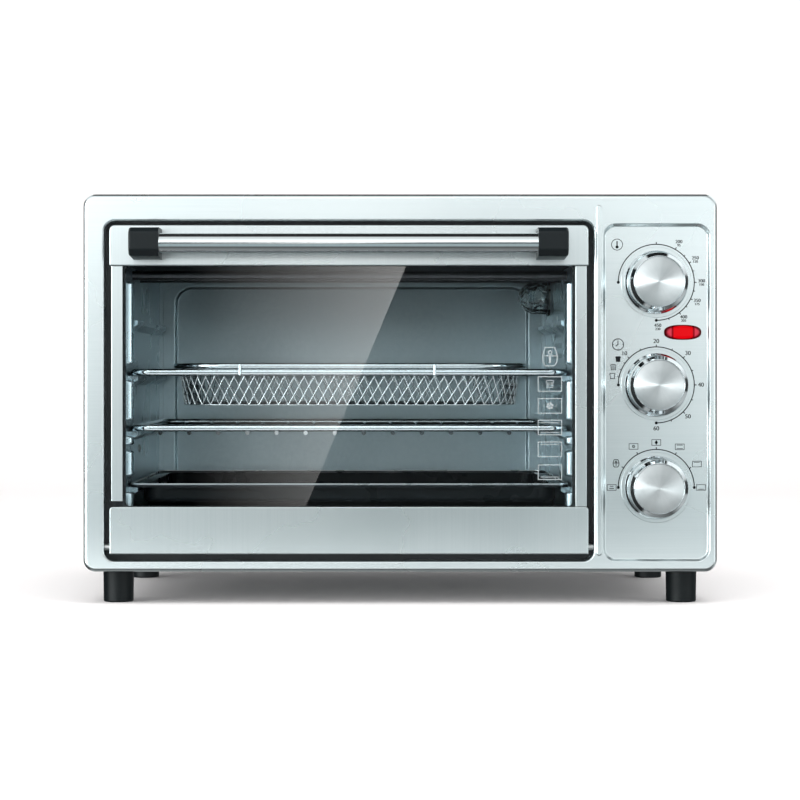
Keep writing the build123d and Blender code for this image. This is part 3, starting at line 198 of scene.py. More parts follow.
# %% White sweep
SWEEP_FRONT, SWEEP_BACK, SWEEP_TOP = -4.0, 1.6, 3.0
SWEEP_RADIUS, SWEEP_WIDTH, SWEEP_STEPS = 0.6, 6.0, 12
profile = [(SWEEP_FRONT, 0.0), (SWEEP_BACK, 0.0)]
for step in range(1, SWEEP_STEPS + 1):
    angle = math.radians(90 * step / SWEEP_STEPS)
    profile.append((SWEEP_BACK + SWEEP_RADIUS * math.sin(angle), SWEEP_RADIUS * (1 - math.cos(angle))))
profile.append((SWEEP_BACK + SWEEP_RADIUS, SWEEP_TOP))
sweep_vertices = [(side * SWEEP_WIDTH / 2, y, z) for y, z in profile for side in (-1, 1)]
sweep_faces = [(2 * i, 2 * i + 1, 2 * i + 3, 2 * i + 2) for i in range(len(profile) - 1)]
sweep = mesh_object("studio_sweep", sweep_vertices, sweep_faces)
sweep.data.polygons.foreach_set("use_smooth", [True] * len(sweep_faces))
paper = bpy.data.materials.new("white_paper")
paper.use_nodes = True
paper_shader = paper.node_tree.nodes["Principled BSDF"]
paper_shader.inputs["Base Color"].default_value = (0.985, 0.94, 0.935, 1)  # warm, to balance the cool sky
paper_shader.inputs["Roughness"].default_value = 0.9
sweep.data.materials.append(paper)
sweep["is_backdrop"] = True
sweep.visible_glossy = False
print("sweep rises from y", SWEEP_BACK)

# %% [markdown]
# The room that metal mirrors isn't the same on all sides. Seen from the oven, it is bright ahead and
# brighter to the left and right of that, dim below, and broken into bright panels and black gaps round
# the edge. Chrome needs those gaps: without black in it, it reads as white plastic. The world works
# this out from a ray's direction, for reflections only, and stays plain white for everything else.

# %% The room that metal mirrors
world = bpy.data.worlds.new("studio_room")
world.use_nodes = True
bpy.context.scene.world = world
nodes, links = world.node_tree.nodes, world.node_tree.links


def room_math(operation, first, second=0.0):
    return math_node(nodes, links, operation, first, second)


def room_step(value, start, end, low=0.0, high=1.0):
    return ranged(nodes, links, value, start, end, low, high, smooth=True)


direction = axes(nodes, links, nodes.new("ShaderNodeTexCoord").outputs["Generated"])
to_side = room_math("ABSOLUTE", direction["X"])
off_level = room_math("ABSOLUTE", direction["Z"])
ahead = room_math("MULTIPLY", direction["Y"], -1.0)
wings = room_math("MULTIPLY", room_step(to_side, 0.26, 0.48), room_step(off_level, 0.34, 0.05, 0.0, 2.7))
below = room_step(direction["Z"], -0.55, -0.10, 0.10, 1.22)
above = room_step(direction["Z"], 0.34, 0.80, 1.0, 0.55)
leaning = room_step(direction["X"], 0.0, 0.42, 1.38, 0.45)
front_room = room_math("MULTIPLY", room_math("ADD", room_math("MULTIPLY", below, above), wings), leaning)
print("room ahead worked out from", len(nodes), "nodes")

# %% Panels and gaps round the edge of the room
ring_angle = room_math("ARCTAN2", direction["Z"], direction["X"])
ring_turn = room_math("FRACT", room_math("DIVIDE", ring_angle, 2 * math.pi))
SKY, BRIGHTEST = 0.9, 1.3
PANELS = (  # turn round the room, glow
    (0.00, 0.05), (0.03, 0.08), (0.045, 0.75), (0.10, 1.30), (0.18, 1.20), (0.19, 0.02), (0.30, 0.02),
    (0.315, 1.0), (0.40, 0.8), (0.42, 0.06), (0.66, 0.02), (0.68, 0.50), (0.73, 0.30), (0.84, 0.12),
    (0.90, 0.60), (0.96, 0.55), (0.97, 0.05),
)
panels = ramp(nodes, links, ring_turn, [(turn, [glow / BRIGHTEST] * 3) for turn, glow in PANELS])
edge_room = room_math("MULTIPLY", panels, BRIGHTEST)
facing = room_step(ahead, 0.18, 0.42)
mirrored_room = room_math(
    "ADD", room_math("MULTIPLY", front_room, facing),
    room_math("MULTIPLY", edge_room, room_math("SUBTRACT", 1.0, facing)),
)
ray = nodes.new("ShaderNodeLightPath")
room_strength = nodes.new("ShaderNodeMix")
room_strength.inputs["A"].default_value = SKY
any_mirror = room_math("MAXIMUM", ray.outputs["Is Glossy Ray"], ray.outputs["Is Transmission Ray"])
links.new(any_mirror, room_strength.inputs["Factor"])
links.new(mirrored_room, room_strength.inputs["B"])
nodes["Background"].inputs["Color"].default_value = (0.95, 0.995, 1.0, 1)
links.new(room_strength.outputs["Result"], nodes["Background"].inputs["Strength"])


# %% Soft boxes
def soft_box(name, place, target, size, power):
    data = bpy.data.lights.new(name, "AREA")
    data.shape = "RECTANGLE"
    data.size, data.size_y = size
    data.energy = power
    lamp = placed(name, data)
    lamp.location = place
    lamp.rotation_euler = (Vector(target) - Vector(place)).to_track_quat("-Z", "Y").to_euler()
    lamp.visible_glossy = False


OVEN_MIDDLE = (0, 0, 0.15)
soft_box("top_box", (0.1, -0.6, 1.6), OVEN_MIDDLE, (1.6, 1.2), 14)
soft_box("left_box", (-1.4, -1.1, 0.7), OVEN_MIDDLE, (0.9, 1.2), 10)
soft_box("right_box", (1.5, -0.9, 0.6), OVEN_MIDDLE, (0.7, 1.1), 6)
print("soft boxes:", [light.name for light in bpy.data.lights])

# %% Where the camera looks in a mirror
def mirrored(x, z, distance):
    """Where the camera's ray through a point of the glass goes, this far in front of the door."""
    grow = (CAMERA_DISTANCE + distance) / CAMERA_DISTANCE
    return (
        camera.location.x + (x - camera.location.x) * grow,
        FACE_Y - distance,
        camera.location.z + (z - camera.location.z) * grow,
    )


# %% Dim floor in front, which darkens the front towards its foot
CARD_HALF, CARD_NEAR, CARD_FAR, CARD_Z = 1.4, -2.2, -0.45, 0.002
floor_card = mesh_object(
    "dim_floor",
    [(-CARD_HALF, CARD_NEAR, CARD_Z), (CARD_HALF, CARD_NEAR, CARD_Z), (CARD_HALF, CARD_FAR, CARD_Z),
     (-CARD_HALF, CARD_FAR, CARD_Z)],
    [(0, 1, 2, 3)],
)
floor_card.data.materials.append(glow_material("dim_floor_glow", (0.8, 0.97, 1.0), 0.5))
reflection_only(floor_card, through_glass=True)  # the inside of the oven mirrors it through the door
floor_card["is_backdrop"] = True

# %% Grey flag
FLAG_DISTANCE = 1.3
FLAG_MARGIN = 0.02
flag_corners = [
    (glass_low.x - FLAG_MARGIN, glass_low.z - FLAG_MARGIN),
    (glass_high.x + FLAG_MARGIN, glass_low.z - FLAG_MARGIN),
    (glass_high.x + FLAG_MARGIN, glass_high.z + FLAG_MARGIN),
    (glass_low.x - FLAG_MARGIN, glass_high.z + FLAG_MARGIN),
]
flag = mesh_object("grey_flag", [mirrored(x, z, FLAG_DISTANCE) for x, z in flag_corners], [(0, 1, 2, 3)])
flag.data.materials.append(glow_material("flag_grey", (0.82, 0.95, 1.0), 0.06))
reflection_only(flag, through_glass=True)  # the pane's inner face mirrors it too
flag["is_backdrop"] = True

# %% Window card
CARD_DISTANCE, CARD_GLOW, CARD_FADE = 1.2, 2.8, 0.055
WEDGE_TOP_X, WEDGE_FOOT_X = 0.0095, -0.0760  # where its edge crosses the top and the foot of the glass
card_corners = [
    (glass_low.x, glass_low.z),
    (WEDGE_FOOT_X, glass_low.z),
    (WEDGE_TOP_X, glass_high.z),
    (glass_low.x, glass_high.z),
]
card = mesh_object("window_card", [mirrored(x, z, CARD_DISTANCE) for x, z in card_corners], [(0, 1, 2, 3)])
card_material = glow_material("window_glow", (1.0, 0.98, 0.96), 1.0)
card_nodes, card_links = card_material.node_tree.nodes, card_material.node_tree.links
card_x = axes(card_nodes, card_links, object_place(card_nodes))["X"]
fade_start = mirrored(glass_low.x + CARD_FADE, 0, CARD_DISTANCE)[0]
fade_end = mirrored(WEDGE_TOP_X, 0, CARD_DISTANCE)[0]
card_fade = ranged(card_nodes, card_links, card_x, fade_start, fade_end)
card_curve = math_node(card_nodes, card_links, "POWER", card_fade, 1.5)
card_glow = math_node(card_nodes, card_links, "MULTIPLY", card_curve, CARD_GLOW)
card_links.new(card_glow, card_nodes["Emission"].inputs["Strength"])
card.data.materials.append(card_material)
reflection_only(card, through_glass=True)
card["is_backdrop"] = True
print("cards mirrored at x", round(fade_start, 3), "to", round(fade_end, 3))

# %% [markdown]
# ## Effects that several finishes share
# Three node groups are built once and placed in each material with its own values:
# - **rolled_grain**: the fine parallel lines that rolling or a belt leaves in sheet, plus slow cloudy
#   patches where hands and heat have changed the shine.
# - **moulded_skin**: the tiny pits of a moulding tool.
# - **turned_rings**: rings round an axis, as a lathe leaves them, and rays from the middle.
# A group gives out values only. Each material decides what they do to its colour, shine and bumps.

# %% Group helpers
def new_group(name, inputs, outputs):
    group = bpy.data.node_groups.new(name, "ShaderNodeTree")
    kinds = {"vector": "NodeSocketVector", "float": "NodeSocketFloat", "colour": "NodeSocketColor"}
    for label, (kind, value) in inputs.items():
        socket = group.interface.new_socket(label, in_out="INPUT", socket_type=kinds[kind])
        socket.default_value = value
    for label, kind in outputs.items():
        group.interface.new_socket(label, in_out="OUTPUT", socket_type=kinds[kind])
    entry = group.nodes.new("NodeGroupInput")
    leave = group.nodes.new("NodeGroupOutput")
    return group, entry, leave


# %% Rolled grain
grain_group, entry, leave = new_group(
    "rolled_grain",
    {"Vector": ("vector", (0, 0, 0)), "Stretch": ("vector", (1, 1, 1)), "Cloud scale": ("float", 9.0)},
    {"Grain": "float", "Cloud": "float"},
)
nodes, links = grain_group.nodes, grain_group.links
stretch = nodes.new("ShaderNodeVectorMath")
stretch.operation = "MULTIPLY"
links.new(entry.outputs["Vector"], stretch.inputs[0])
links.new(entry.outputs["Stretch"], stretch.inputs[1])
lines = nodes.new("ShaderNodeTexNoise")
lines.inputs["Scale"].default_value = 1.0
lines.inputs["Detail"].default_value = 2.0
lines.inputs["Roughness"].default_value = 0.65
links.new(stretch.outputs[0], lines.inputs["Vector"])
cloud = nodes.new("ShaderNodeTexNoise")
cloud.inputs["Detail"].default_value = 3.0
links.new(entry.outputs["Vector"], cloud.inputs["Vector"])
links.new(entry.outputs["Cloud scale"], cloud.inputs["Scale"])
links.new(lines.outputs["Fac"], leave.inputs["Grain"])
links.new(cloud.outputs["Fac"], leave.inputs["Cloud"])

# %% Moulded skin
skin_group, entry, leave = new_group(
    "moulded_skin",
    {"Vector": ("vector", (0, 0, 0)), "Pits per metre": ("float", 2200.0)},
    {"Pits": "float", "Cloud": "float"},
)
nodes, links = skin_group.nodes, skin_group.links
pits = nodes.new("ShaderNodeTexNoise")
pits.inputs["Detail"].default_value = 2.0
links.new(entry.outputs["Vector"], pits.inputs["Vector"])
links.new(entry.outputs["Pits per metre"], pits.inputs["Scale"])
cloud = nodes.new("ShaderNodeTexNoise")
cloud.inputs["Scale"].default_value = 30.0
links.new(entry.outputs["Vector"], cloud.inputs["Vector"])
links.new(pits.outputs["Fac"], leave.inputs["Pits"])
links.new(cloud.outputs["Fac"], leave.inputs["Cloud"])

# %% Turned rings
rings_group, entry, leave = new_group(
    "turned_rings",
    {"Vector": ("vector", (0, 0, 0)), "Rings per metre": ("float", 3000.0)},
    {"Ring": "float", "Ray": "float"},
)
nodes, links = rings_group.nodes, rings_group.links
spot = axes(nodes, links, entry.outputs["Vector"])
x_square = math_node(nodes, links, "MULTIPLY", spot["X"], spot["X"])
z_square = math_node(nodes, links, "MULTIPLY", spot["Z"], spot["Z"])
radius = math_node(nodes, links, "POWER", math_node(nodes, links, "ADD", x_square, z_square), 0.5)
angle = math_node(nodes, links, "ARCTAN2", spot["Z"], spot["X"])
ring_noise = nodes.new("ShaderNodeTexNoise")
ring_noise.noise_dimensions = "1D"
ring_noise.inputs["Scale"].default_value = 1.0
ring_noise.inputs["Detail"].default_value = 3.0
links.new(
    math_node(nodes, links, "MULTIPLY", radius, entry.outputs["Rings per metre"]), ring_noise.inputs["W"]
)
# the noise reads the angle's cosine and sine, so that it has no seam
unit = nodes.new("ShaderNodeCombineXYZ")
links.new(math_node(nodes, links, "COSINE", angle, 0.0), unit.inputs["X"])
links.new(math_node(nodes, links, "SINE", angle, 0.0), unit.inputs["Y"])
ray_noise = nodes.new("ShaderNodeTexNoise")
ray_noise.inputs["Scale"].default_value = 2.4
ray_noise.inputs["Detail"].default_value = 4.0
links.new(unit.outputs[0], ray_noise.inputs["Vector"])
links.new(ring_noise.outputs["Fac"], leave.inputs["Ring"])
links.new(ray_noise.outputs["Fac"], leave.inputs["Ray"])
print("node groups:", len(bpy.data.node_groups))

# %% [markdown]
# ## Sheet metals
# The front is stainless sheet, brushed and lacquered. The cavity is aluminised steel, duller and bluer.
# The case is enamelled steel. They share one recipe: a grain stretched along the rolling direction, a
# cloud that shifts the shine, and a faint bump from the grain. Only the numbers differ, so one function
# makes them all.

# %% Functions that build a material
def start_material(name, **constants):
    """A Principled material and its Object coordinates. Constants go onto the shader's own sockets."""
    material = bpy.data.materials.new(name)
    material.use_nodes = True
    nodes, links = material.node_tree.nodes, material.node_tree.links
    shader = nodes["Principled BSDF"]
    for label, value in constants.items():
        shader.inputs[label.replace("_", " ")].default_value = value
    return material, nodes, links, shader, object_place(nodes)


def add_group(nodes, links, group, vector, **values):
    node = nodes.new("ShaderNodeGroup")
    node.node_tree = group
    links.new(vector, node.inputs["Vector"])
    for label, value in values.items():
        node.inputs[label.replace("_", " ")].default_value = value
    return node


def tint(nodes, links, factor, dark, light, socket):
    """Blends two colours by a value into a colour socket."""
    mix = nodes.new("ShaderNodeMix")
    mix.data_type = "RGBA"
    mix.inputs["A"].default_value = (*dark, 1)
    mix.inputs["B"].default_value = (*light, 1)
    links.new(factor, mix.inputs["Factor"])
    links.new(mix.outputs["Result"], socket)


def multiplied(nodes, links, first, second):
    """One colour multiplied by another."""
    mix = nodes.new("ShaderNodeMix")
    mix.data_type = "RGBA"
    mix.blend_type = "MULTIPLY"
    mix.inputs["Factor"].default_value = 1.0
    links.new(first, mix.inputs["A"])
    links.new(second, mix.inputs["B"])
    return mix.outputs["Result"]


def spread(nodes, links, value, low, high, socket):
    """Maps the middle of a noise, 0.3 to 0.7, onto a range, into a value socket."""
    links.new(ranged(nodes, links, value, 0.3, 0.7, low, high), socket)


def bump(nodes, links, height, distance, strength, shader):
    node = nodes.new("ShaderNodeBump")
    node.inputs["Distance"].default_value = distance
    node.inputs["Strength"].default_value = strength
    links.new(height, node.inputs["Height"])
    links.new(node.outputs[0], shader.inputs["Normal"])


# %% A function for grained metal
def grained_metal(name, dark, light, shine, stretch, cloud_scale=9.0, grain_bump=0.15, **constants):
    constants.setdefault("Metallic", 1.0)
    material, nodes, links, shader, place = start_material(name, **constants)
    grain = add_group(nodes, links, grain_group, place, Stretch=stretch, Cloud_scale=cloud_scale)
    tint(nodes, links, grain.outputs["Grain"], dark, light, shader.inputs["Base Color"])
    spread(nodes, links, grain.outputs["Cloud"], *shine, shader.inputs["Roughness"])
    bump(nodes, links, grain.outputs["Grain"], 0.02 * MM, grain_bump, shader)
    return material


def dress(material, *names):
    """Gives CAD nodes a finish."""
    for name in names:
        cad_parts[name].data.materials[0] = material


# %% Sheet finishes
ALONG_X, ALONG_Y, ALONG_Z = (9, 700, 800), (800, 9, 800), (800, 700, 9)
front_steel = grained_metal("front_steel", (0.74, 0.80, 0.81), (0.82, 0.87, 0.88), (0.25, 0.30), ALONG_X)
rail_steel = grained_metal("rail_steel", (0.72, 0.78, 0.79), (0.80, 0.85, 0.86), (0.25, 0.30), ALONG_Z)
cavity_steel = grained_metal(
    "cavity_steel", (0.60, 0.72, 0.77), (0.74, 0.85, 0.90), (0.24, 0.34), (420, 420, 420), 14.0, 0.10
)
zinc_steel = grained_metal(
    "zinc_steel", (0.50, 0.52, 0.52), (0.66, 0.67, 0.66), (0.30, 0.48), ALONG_Z, 60.0
)
mill_aluminium = grained_metal(
    "mill_aluminium", (0.62, 0.64, 0.65), (0.76, 0.78, 0.79), (0.30, 0.42), ALONG_Y
)
case_enamel = grained_metal(
    "case_enamel", (0.52, 0.54, 0.55), (0.56, 0.58, 0.59), (0.34, 0.44), (300, 300, 300), 5.0, 0.35,
    Metallic=0.55,
)
cavity_black = grained_metal(
    "cavity_black", (0.012, 0.014, 0.016), (0.03, 0.034, 0.038), (0.45, 0.6), (500, 500, 500), 30.0, 0.3,
    Metallic=0.0,
)
lamination_iron = grained_metal(
    "lamination_iron", (0.16, 0.17, 0.18), (0.34, 0.35, 0.36), (0.4, 0.6), (1800, 4, 4)
)
# painted shade: the ceiling is given a near-black colour that stands in for the shade it lies in
painted_shade_ceiling = grained_metal(
    "painted_shade_ceiling", (0.010, 0.013, 0.015), (0.022, 0.027, 0.030), (0.5, 0.6), ALONG_X, 16.0, Metallic=0.0,
    Specular_IOR_Level=0.2,
)

# %% Which pieces are made of which sheet
dress(front_steel, "front_bezel")
dress(rail_steel, "door_top_rail", "door_bottom_rail", "door_side_strips")
dress(cavity_steel, "cavity_left_wall", "cavity_right_wall", "cavity_floor")
dress(painted_shade_ceiling, "cavity_ceiling")
dress(
    zinc_steel, "control_bracket", "hinge_brackets", "hinge_pins", "door_stay_arms", "door_springs",
    "case_screws", "door_screws", "fan_housing", "fan_shaft", "motor_bridges", "thermostat", "timer_bell",
    "lamp_holder",
)
dress(mill_aluminium, "crumb_tray", "convection_fan")
dress(case_enamel, "outer_shell", "rear_panel", "base_panel")
dress(cavity_black, "cavity_front_frame", "door_inner_frame")
dress(lamination_iron, "motor_core")
print("sheet finishes:", len(bpy.data.materials), "materials so far")

# %% The back wall, a lighter copy of the cavity steel with painted shade darkening it towards its top
# painted light: the back wall's steel is lighter than the side walls' for the light that falls on it, and
# painted shade darkens it towards its top
back_steel = grained_metal(
    "back_steel", (0.66, 0.79, 0.84), (0.82, 0.94, 0.98), (0.30, 0.40), (380, 380, 380), 12.0, 0.2
)
nodes, links = back_steel.node_tree.nodes, back_steel.node_tree.links
shader = nodes["Principled BSDF"]
back_low, back_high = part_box("cavity_back_wall")
TOP_SHADE = 0.42  # what the painted shade at the top leaves of the steel's brightness
height = axes(nodes, links, object_place(nodes))["Z"]
# painted shade: the steel's colour is multiplied down with height, towards the top of the wall
painted_top_shade = ranged(nodes, links, height, back_low.z + 10.0 * MM, back_high.z, 1.0, TOP_SHADE, smooth=True)
unshaded = shader.inputs["Base Color"].links[0].from_socket
links.new(multiplied(nodes, links, unshaded, painted_top_shade), shader.inputs["Base Color"])
dress(back_steel, "cavity_back_wall")
print("back wall from z", round(back_low.z, 4), "to", round(back_high.z, 4))

# %% [markdown]
# ## Bright wire, tube and plating
# Rack rods are chromed wire, drawn and then polished, so they have almost no grain. The handle is a
# polished tube whose grain runs round it. The heaters are the same kind of tube after heat has darkened
# it.

# %% Bright finishes
chrome_wire = grained_metal(
    "chrome_wire", (0.62, 0.67, 0.69), (0.78, 0.82, 0.84), (0.06, 0.14), (90, 90, 90), 40.0, 0.03
)
basket_wire_finish = grained_metal(
    "basket_wire_finish", (0.62, 0.67, 0.69), (0.84, 0.87, 0.88), (0.14, 0.26), (200, 200, 200), 90.0, 0.06
)
handle_steel = grained_metal(
    "handle_steel", (0.70, 0.74, 0.76), (0.84, 0.87, 0.88), (0.12, 0.20), (1500, 4, 4)
)
plating = grained_metal(
    "plating", (0.70, 0.75, 0.77), (0.80, 0.84, 0.86), (0.04, 0.09), (60, 60, 60), 25.0, 0.02
)
heater_sheath = grained_metal(
    "heater_sheath", (0.06, 0.06, 0.065), (0.14, 0.14, 0.15), (0.35, 0.50), (70, 6, 6), 35.0, 0.2
)
brass = grained_metal("turned_brass", (0.55, 0.40, 0.16), (0.78, 0.62, 0.30), (0.2, 0.35), (4, 1500, 4))
dress(chrome_wire, "basket_rack", "lower_rack", "basket_rim")
dress(handle_steel, "handle_bar")
dress(heater_sheath, "upper_heating_elements", "lower_heating_elements")
dress(brass, "temperature_spindle", "timer_spindle", "function_spindle")

# %% [markdown]
# ## The drip tray
# The tray is coated dark inside and underneath. Its rolled lip is coloured as bright bare metal, a painted
# highlight for the light that catches it. The height on the tray decides between the two, so the painted
# highlight follows the lip.

# %% Drip tray finish
tray_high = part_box("drip_tray")[1]
tray_coat, nodes, links, shader, place = start_material("tray_coat", Specular_IOR_Level=0.2)
grain = add_group(nodes, links, grain_group, place, Stretch=(400, 400, 400), Cloud_scale=22.0)
height = axes(nodes, links, place)["Z"]
LIP_START, LIP_END = 1.3 * MM, 0.4 * MM  # below the top of the tray
# painted highlight: a thin band at the top of the tray is coloured bright bare metal
lip_highlight = ranged(nodes, links, height, tray_high.z - LIP_START, tray_high.z - LIP_END)
tint(nodes, links, lip_highlight, (0.010, 0.013, 0.015), (0.78, 0.81, 0.82), shader.inputs["Base Color"])
links.new(lip_highlight, shader.inputs["Metallic"])
spread(nodes, links, grain.outputs["Cloud"], 0.22, 0.38, shader.inputs["Roughness"])
bump(nodes, links, grain.outputs["Grain"], 0.01 * MM, 0.15, shader)
dress(tray_coat, "drip_tray")
print("tray lip at z", round(tray_high.z, 4))

# %% [markdown]
# ## Plastics and ceramic
# Handle ends and feet are black moulded plastic with a fine eggshell skin. Switch bodies are a pale
# thermoset, and the heater ends stand in bare ceramic. One function serves all, because each is a skin
# of pits on a colour.

# %% Moulded finishes
def moulded(name, dark, light, shine, pits_per_metre, depth, **constants):
    material, nodes, links, shader, place = start_material(name, **constants)
    skin = add_group(nodes, links, skin_group, place, Pits_per_metre=pits_per_metre)
    tint(nodes, links, skin.outputs["Pits"], dark, light, shader.inputs["Base Color"])
    spread(nodes, links, skin.outputs["Cloud"], *shine, shader.inputs["Roughness"])
    bump(nodes, links, skin.outputs["Pits"], depth, 0.5, shader)
    return material


black_plastic = moulded(
    "black_plastic", (0.003, 0.005, 0.006), (0.009, 0.013, 0.015), (0.28, 0.40), 1900.0, 0.03 * MM,
    Specular_IOR_Level=0.22,
)
foot_rubber = moulded(
    "foot_rubber", (0.003, 0.005, 0.006), (0.008, 0.012, 0.013), (0.36, 0.5), 1500.0, 0.03 * MM,
    Specular_IOR_Level=0.2,
)
pale_thermoset = moulded(
    "pale_thermoset", (0.62, 0.60, 0.54), (0.76, 0.74, 0.68), (0.35, 0.5), 1600.0, 0.05 * MM
)
steatite = moulded("steatite", (0.70, 0.68, 0.62), (0.86, 0.84, 0.78), (0.6, 0.8), 2600.0, 0.06 * MM)
copper_winding = grained_metal(
    "copper_winding", (0.36, 0.12, 0.04), (0.72, 0.32, 0.14), (0.25, 0.4), (3200, 20, 20)
)
dress(black_plastic, "handle_end_caps", "rear_spacers", "cord_gland")
dress(foot_rubber, "feet")
dress(pale_thermoset, "timer", "function_switch")
dress(steatite, "element_insulators")
dress(copper_winding, "motor_coil")

# %% [markdown]
# ## Glass
# Tempered float glass is almost clear, with a cool tint that shows at its edges. Light has to reach the
# food, so rays on their way to a lamp pass straight through, as sunlight seems to through a window. A
# trace of haze in the roughness stands for the film that cooking leaves.

# %% Clear finishes
def clear_glass(name, colour, shine, ior, cloud_scale):
    material, nodes, links, shader, place = start_material(
        name, Base_Color=(*colour, 1), Transmission_Weight=1.0, IOR=ior
    )
    haze = add_group(nodes, links, grain_group, place, Stretch=(4, 4, 4), Cloud_scale=cloud_scale)
    spread(nodes, links, haze.outputs["Cloud"], *shine, shader.inputs["Roughness"])
    through = nodes.new("ShaderNodeBsdfTransparent")
    through.inputs["Color"].default_value = (*colour, 1)
    choose = nodes.new("ShaderNodeMixShader")
    ray = nodes.new("ShaderNodeLightPath")
    links.new(ray.outputs["Is Shadow Ray"], choose.inputs["Fac"])
    links.new(shader.outputs[0], choose.inputs[1])
    links.new(through.outputs[0], choose.inputs[2])
    links.new(choose.outputs[0], nodes["Material Output"].inputs["Surface"])
    return material


door_pane = clear_glass("door_pane", (0.93, 0.97, 0.98), (0.0, 0.002), 1.5, 14.0)
lamp_crystal = clear_glass("lamp_crystal", (0.93, 0.96, 0.96), (0.0, 0.03), 1.5, 60.0)
dress(door_pane, "door_glass")
dress(lamp_crystal, "lamp_bulb")
neon = moulded(
    "neon", (0.85, 0.20, 0.08), (0.95, 0.35, 0.15), (0.2, 0.3), 400.0, 0.01 * MM,
    Emission_Color=(1.0, 0.10, 0.04, 1), Emission_Strength=2.0,
)
dress(neon, "pilot_light_lamp")
print("materials:", len(bpy.data.materials))

# %% [markdown]
# ## Knobs
# A knob is a plated moulding with a turned aluminium disc pressed into its front. Both are bodies of
# revolution, so their outline is drawn once, as radius against distance along the spindle, and swept
# round. The frame's box gives the centre, the largest radius and the two ends.

# %% Functions that join rings of points
def circle_points(middle, radius, sides, shift=0.0):
    """Points evenly round a circle, as pairs; a radius of 0 gives its middle once."""
    if radius == 0:
        return [middle]
    turns = [2 * math.pi * (step + shift) / sides for step in range(sides)]
    return [(middle[0] + radius * math.cos(turn), middle[1] + radius * math.sin(turn)) for turn in turns]


def lofted(name, rings, caps=()):
    """Joins closed rings in turn. A ring of one point is a pole, and caps lists the rings to fill."""
    bm = bmesh.new()
    made = [[bm.verts.new(point) for point in ring] for ring in rings]
    for first, second in zip(made, made[1:]):
        count = max(len(first), len(second))
        for i in range(count):
            j = (i + 1) % count
            if len(first) == 1:
                bm.faces.new((first[0], second[i], second[j]))
            elif len(second) == 1:
                bm.faces.new((first[i], second[0], first[j]))
            else:
                bm.faces.new((first[i], second[i], second[j], first[j]))
    for index in caps:
        bm.faces.new(made[index])
    return closed_object(name, bm)


def turned(name, outline, centre, segments=120):
    """Sweeps (radius, y) points round the axis along Y through a centre."""
    rings = [[(x, y, z) for x, z in circle_points(centre, radius, segments)] for radius, y in outline]
    return lofted(name, rings)


def bevelled(piece, width, segments=3, angle=25.0):
    """A finished edge: a live Bevel, then smooth shading that keeps the flats flat."""
    modifier = piece.modifiers.new("edge", "BEVEL")
    modifier.width = width
    modifier.segments = segments
    modifier.limit_method = "ANGLE"
    modifier.angle_limit = math.radians(angle)
    modifier.harden_normals = False
    piece.data.polygons.foreach_set("use_smooth", [True] * len(piece.data.polygons))
    weighted = piece.modifiers.new("normals", "WEIGHTED_NORMAL")
    weighted.keep_sharp = True


# %% Finish of the turned faces
def turned_face_material(name, centre):
    """Concentric brushing: the shine spreads along each ring, which gives the bright opposite wedges."""
    material, nodes, links, shader, place = start_material(
        name, Metallic=1.0, Anisotropic=0.95, Anisotropic_Rotation=0.25
    )
    centring = nodes.new("ShaderNodeMapping")
    centring.inputs["Location"].default_value = (-centre[0], 0, -centre[1])
    links.new(place, centring.inputs["Vector"])
    rings = add_group(nodes, links, rings_group, centring.outputs[0], Rings_per_metre=4200.0)
    colour = shader.inputs["Base Color"]
    tint(nodes, links, rings.outputs["Ray"], (0.74, 0.78, 0.79), (0.96, 0.98, 0.99), colour)
    spread(nodes, links, rings.outputs["Ring"], 0.38, 0.46, shader.inputs["Roughness"])
    bump(nodes, links, rings.outputs["Ring"], 0.015 * MM, 0.2, shader)
    around = nodes.new("ShaderNodeTangent")
    around.direction_type = "RADIAL"
    around.axis = "Y"
    links.new(around.outputs[0], shader.inputs["Tangent"])
    return material


# %% The knob's outline
BOSS, BOSS_DEPTH = 6.0 * MM, 14.5 * MM  # the boss that takes the spindle
MOUTH = 18.25 * MM  # the pocket that the disc is pressed into


def knob_outline(skirt, back, front):
    """From the boss, round the hollow back and the skirt, to the pocket in the front."""
    grip = skirt - 1.9 * MM
    return [
        (BOSS, back),
        (BOSS, back - BOSS_DEPTH),
        (18.0 * MM, back - BOSS_DEPTH),
        (18.4 * MM, back),
        (skirt, back),
        (skirt, back - 1.0 * MM),
        (grip + 0.4 * MM, back - 2.5 * MM),
        (grip - 0.2 * MM, front + 2.9 * MM),
        (MOUTH + 0.5 * MM, front),
        (MOUTH, front),
        (MOUTH, front + 1.0 * MM),
        (0, front + 1.0 * MM),
    ]


# %% The turned disc, very slightly dished
def disc_outline(radius, back, front):
    return [
        (0, front + 0.25 * MM),
        (radius * 0.5, front + 0.18 * MM),
        (radius - 0.5 * MM, front),
        (radius, front + 0.35 * MM),
        (radius, back),
        (0, back),
    ]


# %% Three knobs with their discs
knob_centres = {}
for name, (low, high) in knob_boxes.items():
    centre = ((low.x + high.x) / 2, (low.z + high.z) / 2)
    knob_centres[name] = centre
    body = turned(f"{name}_knob_body", knob_outline((high.x - low.x) / 2, high.y, low.y), centre)
    bevelled(body, 0.35 * MM)
    body.data.materials.append(plating)
    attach(body, f"{name}_control")
    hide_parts(f"{name}_knob")

    face_low, face_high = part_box(f"{name}_knob_face")
    face_radius = (face_high.x - face_low.x) / 2
    disc = turned(f"{name}_knob_disc", disc_outline(face_radius, face_high.y, face_low.y), centre)
    disc.data.polygons.foreach_set("use_smooth", [True] * len(disc.data.polygons))
    disc.data.materials.append(turned_face_material(f"{name}_face_finish", centre))
    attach(disc, f"{name}_control")
    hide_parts(f"{name}_knob_face")
print("knob centres", {k: [round(c, 4) for c in v] for k, v in knob_centres.items()})

# %% [markdown]
# ### The knobs' marks
# A fine line is milled across each plated bevel, to show which way the knob points. At its off position
# it points to nine o'clock. It is a sliver of black lying on the bevel.

